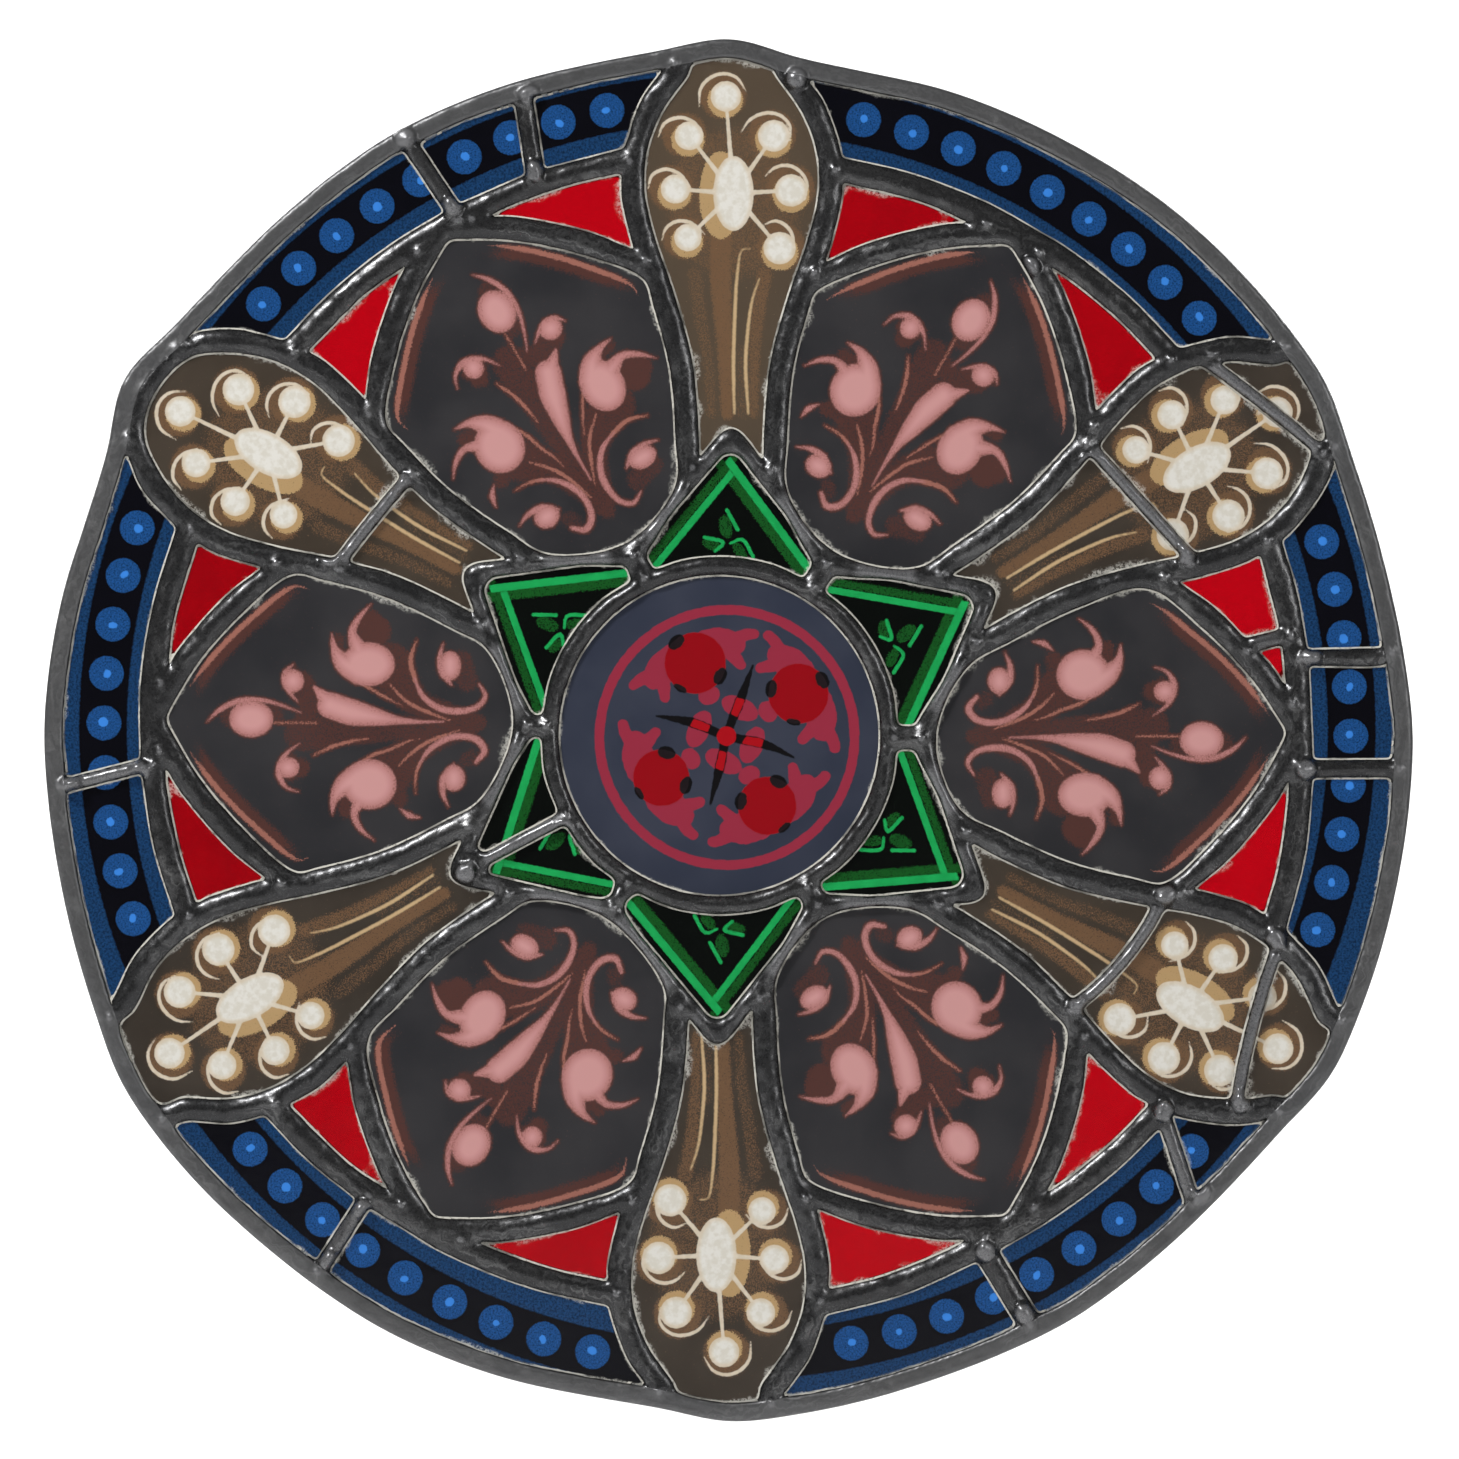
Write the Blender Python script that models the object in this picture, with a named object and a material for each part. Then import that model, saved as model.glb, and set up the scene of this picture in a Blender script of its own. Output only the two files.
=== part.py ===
"""A leaded stained glass roundel, about 450 mm across, of the kind set in a round window opening.

Six spoon-shaped petals stand round a six-pointed star with a disc in its middle. Between the petals are
pointed panes, each with two red corner pieces above it, and a blue border runs round the outside. All the
panes sit in the channels of H-section lead cames, soldered into one matrix, and a U-section came wraps the rim.

Metres, +Z up. The roundel stands upright and is seen along +Y. The origin is on the back face of the rim
came, at the bottom, where the roundel beds on the rebate of its opening.
"""

import math
from dataclasses import dataclass

import bmesh
import bpy
from mathutils import Vector

# The lead cames and the glass
GLASS_THICKNESS = 0.0032
SLIP = 0.0003
FLANGE_THICKNESS = 0.0013
CAME_FACE = 0.0078
CAME_HEART = 0.0020
RING_FACE = 0.0060
RIM_FACE = 0.0062
RIM_WEB = 0.0018
MEND_FACE = 0.0042
MEND_HEART = 0.0014
CHANNEL = GLASS_THICKNESS + 2 * SLIP
PANEL_THICKNESS = CHANNEL + 2 * FLANGE_THICKNESS

# The leads were laid out by hand, so their layout is a measured drawing, which is this many units wide
ROUNDEL_WIDTH = 0.4505
DRAWING_UNITS = 450.5


def drawn(measure):
    """A length of the drawing, or a row of them, at the roundel's real size."""
    if isinstance(measure, tuple):
        return tuple(drawn(item) for item in measure)
    return measure * ROUNDEL_WIDTH / DRAWING_UNITS


# The disc in the middle stands a little off the roundel's own centre
RING_RADIUS = 0.0559
DISC_OFFSET = Vector(drawn((-3.3, -2.0)))

# Half the width of a petal between its two cames, against the distance from the centre
PETAL_HALF_WIDTHS = drawn((
    (95, 14.5),
    (115, 15.8),
    (132, 19.4),
    (150, 25.2),
    (165, 30.2),
    (180, 32.8),
    (193, 31.3),
    (206, 26.0),
    (217, 17.5),
))
PETAL_FOOT = PETAL_HALF_WIDTHS[0][0]
PETAL_SHOULDER = PETAL_HALF_WIDTHS[3][0]
PETAL_HEAD = PETAL_HALF_WIDTHS[-1][0]
ARCH_BOW = drawn(4.8)
BORDER_END_LATERAL = drawn(62)
RIM_HIP_ANGLE = 7.7
RIM_QUARTER_ANGLE = 10.3

# How finely the curves are cut into straight runs
PETAL_STOPS = drawn((95, 120, 142, 160, 176, 191, 205, 218))
ARCH_RUNS = 3
BORDER_STEP_ANGLE = 8.0
RIM_STEP_ANGLE = 6.0
RING_STEP_ANGLE = 15.0
TIP_STEP_ANGLE = 60.0
SHARP_TURN = math.radians(20)


@dataclass
class Petal:
    """One spoon-shaped petal, as drawn. Laterals are to the right of its axis, seen looking outwards."""

    hour: str
    angle: float
    foot_shift: float
    head_shift: float
    reach: float
    shoulders: tuple
    star_tip: tuple
    rim: tuple
    mends: tuple = ()
    crown_came: float = 0.0
    star_mend: bool = False

    def __post_init__(self):
        for name in ("foot_shift", "head_shift", "reach", "shoulders", "star_tip", "rim", "mends", "crown_came"):
            setattr(self, name, drawn(getattr(self, name)))


@dataclass
class Sector:
    """One pointed pane with its two red corners and the stretch of border outside it, as drawn."""

    hour: str
    angle: float
    star_corner: tuple
    arch_tip: float
    border: tuple
    rim: tuple
    border_joints: tuple = ()
    corner_joint: tuple = ()

    def __post_init__(self):
        for name in ("star_corner", "arch_tip", "border", "rim", "border_joints", "corner_joint"):
            setattr(self, name, drawn(getattr(self, name)))


PETALS = (
    Petal("12", 90, 0.6, 0.8, 0, (151, 146.5), (0.5, 39.6), (224, 227.4, 221.3)),
    Petal(
        "02", 30, 2.8, 0.2, 0, (150, 145), (3.5, 39.1), (226.3, 227.1, 223.3),
        mends=((149, 160.5, 0), (195, 215, 0.5)),
    ),
    Petal(
        "04", -30, 2.9, 0.4, 0, (152, 148), (5.5, 40.1), (227, 228.3, 223.8),
        mends=((151.5, 143, 3), (191.5, 207, -1.5)),
    ),
    Petal("06", -90, 3, 3.8, 0, (151, 152), (4, 44.1), (226, 227.8, 224)),
    Petal(
        "08", -150, 2.3, 1.5, 4, (157, 150), (3.5, 44.1), (230.7, 231.4, 228),
        star_mend=True,
    ),
    Petal(
        "10", 150, 1.5, 2.3, 1, (153, 151), (1.8, 42.1), (223.2, 230.3, 225),
        mends=((139, 132.5, 0.5),), crown_came=4.5,
    ),
)
SECTORS = (
    Sector("01", 60, (0.5, 7.9), 0, (188.1, 189.3, 190.3), (222.3, 223.2, 225)),
    Sector(
        "03", 0, (2.8, 7.9), 0.8, (188.3, 188.4, 191), (222.6, 224.9, 225.3),
        border_joints=((-24.5, -23.5, 5.5), (12.8, 13, 6)),
        corner_joint=(-31.5, -26.8, 5.2),
    ),
    Sector(
        "05", -60, (3.8, 9.1), 1.2, (189.5, 189, 191.5), (223.1, 224.5, 224.1),
        border_joints=((-53.5, -60.5, 5), (12, 13, 7.8)),
    ),
    Sector(
        "07", -120, (4, 14.1), 4, (190, 192.5, 195), (226, 228, 228.5),
        border_joints=((28, 26.2, 5.2),),
    ),
    Sector(
        "09", 180, (1.3, 11.1), 3.6, (188.7, 190.5, 190), (225.6, 225.6, 224.1),
        border_joints=((-20, -11.2, 4.6),),
    ),
    Sector(
        "11", 120, (1.2, 10.1), 0.6, (190.7, 190.7, 190.7), (224.1, 225.2, 224.6),
        border_joints=((4.8, 7, 5.5), (47.5, 35, 6.2)),
    ),
)

# The bottom petal's rim came has its mid-width at the origin
ORIGIN_BELOW_CENTRE = PETALS[3].rim[1] - RIM_FACE / 2

COLOURS = {
    "lead": (0.10, 0.10, 0.105, 1),
    "beaded_glass": (0.30, 0.20, 0.11, 1),
    "foliage_glass": (0.16, 0.07, 0.07, 1),
    "border_glass": (0.01, 0.05, 0.16, 1),
    "red_glass": (0.45, 0.0, 0.005, 1),
    "green_glass": (0.005, 0.16, 0.05, 1),
    "disc_glass": (0.06, 0.02, 0.04, 1),
}


def place(angle, lateral, radial):
    """The point at these distances from the centre, along and to the right of the ray at angle."""
    a = math.radians(angle)
    return Vector((radial * math.cos(a) + lateral * math.sin(a), radial * math.sin(a) - lateral * math.cos(a)))


def angle_of(point):
    return math.degrees(math.atan2(point.y, point.x))


def smooth_between(knots, x):
    """The value at x of a smooth curve through (x, value) knots, held level outside them."""
    if x <= knots[0][0]:
        return knots[0][1]
    if x >= knots[-1][0]:
        return knots[-1][1]
    i = max(k for k in range(len(knots) - 1) if knots[k][0] <= x)
    (x1, y1), (x2, y2) = knots[i], knots[i + 1]
    x0, y0 = knots[i - 1] if i else (2 * x1 - x2, 2 * y1 - y2)
    x3, y3 = knots[i + 2] if i + 2 < len(knots) else (2 * x2 - x1, 2 * y2 - y1)
    start = (y2 - y0) / (x2 - x0) * (x2 - x1)
    end = (y3 - y1) / (x3 - x1) * (x2 - x1)
    t = (x - x1) / (x2 - x1)
    rise = (2 * t**3 - 3 * t**2 + 1) * y1 + (3 * t**2 - 2 * t**3) * y2
    return rise + (t**3 - 2 * t**2 + t) * start + (t**3 - t**2) * end


def rim_knots():
    """The rim's outer radius against the angle, over more than one turn."""
    knots = []
    for petal, sector in zip(PETALS, SECTORS):
        for shift, radius in zip((RIM_HIP_ANGLE, 0, -RIM_HIP_ANGLE), petal.rim):
            knots.append((petal.angle + shift, radius))
        for shift, radius in zip((RIM_QUARTER_ANGLE, 0, -RIM_QUARTER_ANGLE), sector.rim):
            knots.append((sector.angle + shift, radius))
    turn = sorted((angle % 360, radius) for angle, radius in knots)
    before = [(angle - 360, radius) for angle, radius in turn[-3:]]
    after = [(angle + 360, radius) for angle, radius in turn[:3]]
    return before + turn + after


RIM_KNOTS = rim_knots()


def rim_corner(index):
    """One corner of the many-sided outline that the rim came, the matrix and the glass all follow."""
    angle = index * RIM_STEP_ANGLE
    return place(angle, 0, smooth_between(RIM_KNOTS, angle % 360))


def rim_point(angle):
    """Where the ray at angle meets the rim's outline."""
    index = math.floor(angle / RIM_STEP_ANGLE)
    return crossing(rim_corner(index), rim_corner(index + 1), Vector((0, 0)), place(angle, 0, 1))


def rim_run(start, end):
    """The rim's outline between two angles, the short way round."""
    sweep = (end - start + 180) % 360 - 180
    low, high = sorted((start / RIM_STEP_ANGLE, (start + sweep) / RIM_STEP_ANGLE))
    between = [i for i in range(math.ceil(low), math.ceil(high)) if low + 0.1 < i < high - 0.1]
    corners = [rim_corner(i) for i in (between if sweep > 0 else between[::-1])]
    return [rim_point(start)] + corners + [rim_point(end)]


def border_point(sector, angle):
    """A point on the middle of the came between the border and the red corners."""
    off = (sector.angle - angle + 180) % 360 - 180
    end = math.degrees(math.asin(BORDER_END_LATERAL / sector.border[1]))
    radius = smooth_between(tuple(zip((-end, 0, end), sector.border)), off)
    return place(angle, 0, radius)


def angles_between(start, end, step):
    """The angles from start to end, the short way round, in equal steps of about this size."""
    sweep = (end - start + 180) % 360 - 180
    count = max(1, round(abs(sweep) / step))
    return [start + sweep * i / count for i in range(count + 1)]


def crossing(a, b, c, d):
    """Where the lines a-b and c-d cross."""
    one, two = b - a, d - c
    share = (c - a).cross(two) / one.cross(two)
    return a + one * share


def solve(crossed, low, high):
    """Where crossed turns true between low, where it is false, and high."""
    for _ in range(40):
        middle = (low + high) / 2
        low, high = (low, middle) if crossed(middle) else (middle, high)
    return (low + high) / 2


def side_point(petal, side, radial):
    """A point on the middle of a petal's left (-1) or right (+1) came."""
    along = (radial - PETAL_FOOT) / (PETAL_HEAD - PETAL_FOOT)
    shift = petal.foot_shift + (petal.head_shift - petal.foot_shift) * along
    stretch = max(0, (radial - PETAL_SHOULDER) / (PETAL_HEAD - PETAL_SHOULDER))
    nominal = radial - petal.reach * stretch
    return place(petal.angle, shift + side * smooth_between(PETAL_HALF_WIDTHS, nominal), radial)


def side_run(petal, side, start, end):
    """Points along a petal's came between two distances from the centre, either way round."""
    low, high = min(start, end), max(start, end)
    margin = 0.15 * (PETAL_STOPS[1] - PETAL_STOPS[0])
    stops = [low] + [stop for stop in PETAL_STOPS if low + margin < stop < high - margin] + [high]
    points = [side_point(petal, side, stop) for stop in stops]
    return points if start < end else points[::-1]


def arc(start, end, bow, runs):
    """Points from start to end along an arc that bows out by bow to the left of the way it goes."""
    chord = end - start
    left = Vector((-chord.y, chord.x)).normalized()
    points = []
    for i in range(runs + 1):
        t = i / runs
        points.append(start + chord * t + left * bow * 4 * t * (1 - t))
    return points


# The leads that a run of a pane's outline follows, each as half its face and half its heart
CAME = (CAME_FACE / 2, CAME_HEART / 2)
RING = (RING_FACE / 2, CAME_HEART / 2)
MEND = (MEND_FACE / 2, MEND_HEART / 2)
RIM = (RIM_FACE, RIM_WEB)


class Pane:
    """One piece of glass: the middle lines of the leads round it, in runs that each follow one lead."""

    def __init__(self, name, material, runs):
        self.name = name
        self.material = material
        self.points = []
        self.leads = []
        for points, lead in runs:
            for point in points[:-1]:
                self.points.append(point)
                self.leads.append(lead)
        if self.area() < 0:
            self.points.reverse()
            self.leads = self.leads[-2::-1] + self.leads[-1:]

    def area(self):
        pairs = zip(self.points, self.points[1:] + self.points[:1])
        return sum(a.cross(b) for a, b in pairs) / 2

    def inset(self, which, more=0.0, rim=None):
        """The outline moved inwards by each lead's half face (0) or half heart (1), and by more."""
        offsets = [(rim if rim is not None and lead is RIM else lead[which]) + more for lead in self.leads]
        return inset(self.points, offsets)


def inset(points, offsets):
    """An anticlockwise outline with each edge moved inwards by its own offset, outer corners rounded."""
    edges = []
    for i, point in enumerate(points):
        way = points[(i + 1) % len(points)] - point
        edges.append((point, way.normalized(), offsets[i], way.length))
    while True:
        corners = [corner_points(edges[i - 1], edges[i]) for i in range(len(edges))]
        turned_back = [
            i for i, edge in enumerate(edges)
            if (corners[(i + 1) % len(edges)][0] - corners[i][-1]).dot(edge[1]) <= 0
        ]
        if not turned_back:
            return [point for corner in corners for point in corner]
        shortest = min(turned_back, key=lambda i: edges[i][3])
        del edges[shortest]


def corner_points(before, after):
    """Where two moved edges meet: one point, or an arc where the outline turns outwards sharply."""
    (start_a, way_a, offset_a, length_a), (start_b, way_b, offset_b, _) = before, after
    normal_a = Vector((-way_a.y, way_a.x))
    normal_b = Vector((-way_b.y, way_b.x))
    turn = math.atan2(way_a.cross(way_b), way_a.dot(way_b))
    if abs(way_a.cross(way_b)) < 0.02:
        return [start_b + (normal_a + normal_b).normalized() * (offset_a + offset_b) / 2]
    if turn < -SHARP_TURN and abs(offset_a - offset_b) < SLIP:
        count = math.ceil(-turn / math.radians(TIP_STEP_ANGLE))
        first = math.atan2(normal_a.y, normal_a.x)
        heading = [first + turn * i / count for i in range(count + 1)]
        return [start_b + offset_b * Vector((math.cos(a), math.sin(a))) for a in heading]
    a = start_a + normal_a * offset_a
    b = start_b + normal_b * offset_b
    return [crossing(a, a + way_a, b, b + way_b)]


class Layout:
    """The middle lines of the leads round one petal: its star point, its feet and where it meets the rim."""

    def __init__(self, index):
        self.petal = PETALS[index]
        self.before = SECTORS[index - 1]
        self.after = SECTORS[index]
        self.tip = star_place(self.petal.angle, *self.petal.star_tip)
        self.corners = {-1: star_corner(self.before), 1: star_corner(self.after)}
        self.feet = {side: self.foot(side) for side in (-1, 1)}
        self.rims = {side: self.rim_stop(side) for side in (-1, 1)}
        self.borders = {side: self.border_stop(side) for side in (-1, 1)}

    def foot(self, side):
        """How far out the petal's came leaves the arm of the star."""
        arm = self.corners[side] - self.tip

        def inside(radial):
            return side * arm.cross(side_point(self.petal, side, radial) - self.tip) > 0

        return solve(inside, self.corners[side].length / 2, PETAL_SHOULDER)

    def rim_stop(self, side):
        def outside(radial):
            point = side_point(self.petal, side, radial)
            return point.length > rim_point(angle_of(point)).length

        return solve(outside, PETAL_SHOULDER, 2 * PETAL_HEAD - PETAL_SHOULDER)

    def border_stop(self, side):
        sector = self.after if side > 0 else self.before

        def outside(radial):
            point = side_point(self.petal, side, radial)
            return point.length > border_point(sector, angle_of(point)).length

        return solve(outside, PETAL_SHOULDER, PETAL_HEAD)

    def at(self, side, radial):
        return side_point(self.petal, side, radial)


def star_place(angle, lateral, beyond):
    """A point of the star, this far beyond the disc's came."""
    return place(angle, lateral, RING_RADIUS + beyond)


def star_corner(sector):
    return star_place(sector.angle, *sector.star_corner)


def ring_point(towards):
    """The point on the middle of the disc's came that faces another point."""
    return DISC_OFFSET + (towards - DISC_OFFSET).normalized() * RING_RADIUS


def ring_run(start, end):
    first, last = angle_of(start - DISC_OFFSET), angle_of(end - DISC_OFFSET)
    angles = angles_between(first, last, RING_STEP_ANGLE)
    return [DISC_OFFSET + place(angle, 0, RING_RADIUS) for angle in angles]


def disc_pane():
    count = round(360 / RING_STEP_ANGLE)
    circle = [DISC_OFFSET + place(360 * i / count, 0, RING_RADIUS) for i in range(count + 1)]
    return Pane("centre_disc", "disc_glass", [(circle, RING)])


def star_panes(layout):
    """The green point of the star under a petal, in two pieces where a mending lead crosses it."""
    left, right = layout.corners[-1], layout.corners[1]
    low_left, low_right = ring_point(left), ring_point(right)
    name = f"star_point_{layout.petal.hour}"
    if not layout.petal.star_mend:
        runs = [
            ([low_left, left], CAME),
            ([left, layout.tip, right], CAME),
            ([right, low_right], CAME),
            (ring_run(low_right, low_left), RING),
        ]
        return [Pane(name, "green_glass", runs)]
    middle = ring_point(layout.tip)
    halves = (
        ("left", low_left, left),
        ("right", low_right, right),
    )
    return [
        Pane(
            f"{name}_{half}",
            "green_glass",
            [
                ([low, corner, layout.tip], CAME),
                ([layout.tip, middle], MEND),
                (ring_run(middle, low), RING),
            ],
        )
        for half, low, corner in halves
    ]


def crown_run(layout):
    """The top of a petal, from its left came to its right one, and the lead that it follows."""
    petal = layout.petal
    ends = [angle_of(layout.at(side, layout.rims[side])) for side in (-1, 1)]
    points = rim_run(*ends)
    if not petal.crown_came:
        return points, RIM
    inward = RIM_FACE + SLIP
    return [point - point.normalized() * inward for point in points], (petal.crown_came, CAME_HEART / 2)


def petal_panes(layout):
    """The glass of one petal, from its foot to the rim, cut where the mending leads cross it."""
    petal = layout.petal
    base = [layout.at(1, layout.feet[1]), layout.tip, layout.at(-1, layout.feet[-1])]
    below, lead_below = base, CAME
    low = dict(layout.feet)
    count = len(petal.mends)
    panes = []
    for i, (left, right, bow) in enumerate(petal.mends):
        line = arc(layout.at(-1, left), layout.at(1, right), bow, 4 if bow else 1)
        runs = [
            (side_run(petal, -1, low[-1], left), CAME),
            (line, MEND),
            (side_run(petal, 1, right, low[1]), CAME),
            (below, lead_below),
        ]
        panes.append(Pane(f"petal_{petal.hour}_part{i + 1}", "beaded_glass", runs))
        below, lead_below = line[::-1], MEND
        low = {-1: left, 1: right}
    crown, crown_lead = crown_run(layout)
    runs = [
        (side_run(petal, -1, low[-1], layout.rims[-1])[:-1] + [crown[0]], CAME),
        (crown, crown_lead),
        ([crown[-1]] + side_run(petal, 1, layout.rims[1], low[1])[1:], CAME),
        (below, lead_below),
    ]
    name = f"petal_{petal.hour}_part{count + 1}" if count else f"petal_{petal.hour}"
    panes.append(Pane(name, "beaded_glass", runs))
    return panes


def sector_panes(index, layouts):
    """The pointed pane, the red corners and the border glass between one petal and the next."""
    sector = SECTORS[index]
    left, right = layouts[index], layouts[(index + 1) % len(layouts)]
    shoulder_left = left.petal.shoulders[1]
    shoulder_right = right.petal.shoulders[0]
    tip_angle = sector.angle - math.degrees(sector.arch_tip / sector.border[1])
    tip = border_point(sector, tip_angle)
    arch_left = arc(left.at(1, shoulder_left), tip, ARCH_BOW, ARCH_RUNS)
    arch_right = arc(tip, right.at(-1, shoulder_right), ARCH_BOW, ARCH_RUNS)
    foliage = Pane(
        f"pointed_pane_{sector.hour}",
        "foliage_glass",
        [
            ([star_corner(sector), left.at(1, left.feet[1])], CAME),
            (side_run(left.petal, 1, left.feet[1], shoulder_left), CAME),
            (arch_left, CAME),
            (arch_right, CAME),
            (side_run(right.petal, -1, shoulder_right, right.feet[-1]), CAME),
            ([right.at(-1, right.feet[-1]), star_corner(sector)], CAME),
        ],
    )
    return [foliage] + red_panes(sector, left, right, tip_angle, arch_left, arch_right) + border_panes(
        sector, left, right
    )


def border_run(sector, start, end):
    return [border_point(sector, angle) for angle in angles_between(start, end, BORDER_STEP_ANGLE)]


def red_panes(sector, left, right, tip_angle, arch_left, arch_right):
    """The red corner pieces on both sides of the pointed pane's tip."""
    ends = {1: angle_of(left.at(1, left.borders[1])), -1: angle_of(right.at(-1, right.borders[-1]))}
    name = f"red_corner_{sector.hour}"
    side_left = side_run(left.petal, 1, left.petal.shoulders[1], left.borders[1])
    side_right = side_run(right.petal, -1, right.borders[-1], right.petal.shoulders[0])
    right_piece = Pane(
        f"{name}_right",
        "red_glass",
        [
            (border_run(sector, tip_angle, ends[-1]), CAME),
            (side_right, CAME),
            (arch_right[::-1], CAME),
        ],
    )
    if not sector.corner_joint:
        left_piece = Pane(
            f"{name}_left",
            "red_glass",
            [(side_left, CAME), (border_run(sector, ends[1], tip_angle), CAME), (arch_left[::-1], CAME)],
        )
        return [left_piece, right_piece]
    at_border, at_arch, face = sector.corner_joint
    joint = (face / 2, MEND_HEART / 2)
    top_angle = sector.angle - math.degrees(math.asin(at_border / sector.border[1]))
    top = border_point(sector, top_angle)
    across = place(sector.angle, at_arch, 0)
    cut = next(i for i in range(ARCH_RUNS) if lateral_of(sector, arch_left[i + 1]) > at_arch)
    foot = crossing(arch_left[cut], arch_left[cut + 1], across, across + place(sector.angle, 0, 1))
    outer = Pane(
        f"{name}_left_outer",
        "red_glass",
        [
            (side_left, CAME),
            (border_run(sector, ends[1], top_angle), CAME),
            ([top, foot], joint),
            (([foot] + arch_left[cut::-1]), CAME),
        ],
    )
    inner = Pane(
        f"{name}_left_inner",
        "red_glass",
        [
            (border_run(sector, top_angle, tip_angle), CAME),
            (arch_left[:cut:-1] + [foot], CAME),
            ([foot, top], joint),
        ],
    )
    return [outer, inner, right_piece]


def lateral_of(sector, point):
    return point.dot(place(sector.angle, 1, 0))


def border_panes(sector, left, right):
    """The blue border between two petals, cut where radial leads cross it."""
    starts = [(angle_of(left.at(1, left.borders[1])), angle_of(left.at(1, left.rims[1])), CAME)]
    for at_rim, at_border, face in sector.border_joints:
        rim_angle = sector.angle - math.degrees(math.asin(at_rim / sector.rim[1]))
        border_angle = sector.angle - math.degrees(math.asin(at_border / sector.border[1]))
        starts.append((border_angle, rim_angle, (face / 2, MEND_HEART / 2)))
    starts.append((angle_of(right.at(-1, right.borders[-1])), angle_of(right.at(-1, right.rims[-1])), CAME))
    count = len(starts) - 1
    panes = []
    for i in range(count):
        (low_a, high_a, lead_a), (low_b, high_b, lead_b) = starts[i], starts[i + 1]
        up = [border_point(sector, low_a), rim_point(high_a)]
        down = [rim_point(high_b), border_point(sector, low_b)]
        if i == 0:
            up = side_run(left.petal, 1, left.borders[1], left.rims[1])
        if i == count - 1:
            down = side_run(right.petal, -1, right.rims[-1], right.borders[-1])
        rim = [up[-1]] + rim_run(high_a, high_b)[1:-1] + [down[0]]
        runs = [(up, lead_a), (rim, RIM), (down, lead_b), (border_run(sector, low_b, low_a), CAME)]
        name = f"border_{sector.hour}" + (f"_part{i + 1}" if count > 1 else "")
        panes.append(Pane(name, "border_glass", runs))
    return panes


def all_panes():
    layouts = [Layout(i) for i in range(len(PETALS))]
    panes = [disc_pane()]
    for i, layout in enumerate(layouts):
        panes += petal_panes(layout)
        panes += star_panes(layout)
        panes += sector_panes(i, layouts)
    return panes


def clear_scene():
    for obj in list(bpy.data.objects):
        bpy.data.objects.remove(obj)


def make_collection(name):
    collection = bpy.data.collections.new(name)
    bpy.context.scene.collection.children.link(collection)
    return collection


def make_material(name):
    material = bpy.data.materials.new(name)
    material.use_nodes = True
    shader = material.node_tree.nodes["Principled BSDF"]
    shader.inputs["Base Color"].default_value = COLOURS[name]
    is_lead = name == "lead"
    shader.inputs["Metallic"].default_value = 0.6 if is_lead else 0.0
    shader.inputs["Roughness"].default_value = 0.5 if is_lead else 0.15
    shader.inputs["Transmission Weight"].default_value = 0.0 if is_lead else 0.6
    return material


def outline_curve(name, outlines, thickness, collection):
    """A flat outline, with any holes, standing upright and centred in the panel's thickness."""
    curve = bpy.data.curves.new(name, "CURVE")
    curve.dimensions = "2D"
    curve.fill_mode = "BOTH"
    curve.extrude = thickness / 2
    for outline in outlines:
        spline = curve.splines.new("POLY")
        spline.points.add(len(outline) - 1)
        for point, place_at in zip(spline.points, outline):
            point.co = (place_at.x, place_at.y, 0, 1)
        spline.use_cyclic_u = True
    obj = bpy.data.objects.new(name, curve)
    obj.rotation_euler.x = math.radians(90)
    obj.location = (0, -PANEL_THICKNESS / 2, ORIGIN_BELOW_CENTRE)
    collection.objects.link(obj)
    return obj


def outline_solid(name, outlines, thickness, collection):
    """The same as a mesh, which a Boolean can cut or cut with."""
    source = outline_curve(name + "_outline", outlines, thickness, collection)
    bpy.context.view_layer.update()
    evaluated = source.evaluated_get(bpy.context.evaluated_depsgraph_get())
    mesh = bpy.data.meshes.new_from_object(evaluated)
    obj = bpy.data.objects.new(name, mesh)
    obj.matrix_world = source.matrix_world
    collection.objects.link(obj)
    bpy.data.objects.remove(source)
    welded = bmesh.new()
    welded.from_mesh(mesh)
    bmesh.ops.remove_doubles(welded, verts=welded.verts, dist=1e-6)
    bmesh.ops.recalc_face_normals(welded, faces=welded.faces)
    welded.to_mesh(mesh)
    welded.free()
    mesh.name = name
    return obj


def cut(obj, cutter):
    cutter.hide_render = True
    cutter.display_type = "WIRE"
    modifier = obj.modifiers.new(cutter.name, "BOOLEAN")
    modifier.operation = "DIFFERENCE"
    modifier.object = cutter


def rim_outline(inward):
    count = round(360 / RIM_STEP_ANGLE)
    outline = [rim_corner(i) for i in range(count)]
    return inset(outline, [inward] * count) if inward else outline


def make_rim_came(parts, cutters):
    """The U-section came round the outside, open towards the glass."""
    rim = outline_solid("rim_came", [rim_outline(0), rim_outline(RIM_FACE)], PANEL_THICKNESS, parts)
    cut(rim, outline_solid("rim_channel", [rim_outline(RIM_WEB)], CHANNEL, cutters))
    return rim


def make_lead_matrix(panes, parts, cutters):
    """The soldered network of H-section cames: a plate with a window and a channel cut for each pane."""
    through = 2 * PANEL_THICKNESS
    matrix = outline_solid("lead_matrix", [rim_outline(RIM_FACE + SLIP)], PANEL_THICKNESS, parts)
    windows = [pane.inset(0, rim=RIM_WEB) for pane in panes]
    channels = [pane.inset(1, rim=RIM_WEB) for pane in panes]
    cut(matrix, outline_solid("windows", windows, through, cutters))
    cut(matrix, outline_solid("channels", channels, CHANNEL, cutters))
    return matrix


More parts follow.
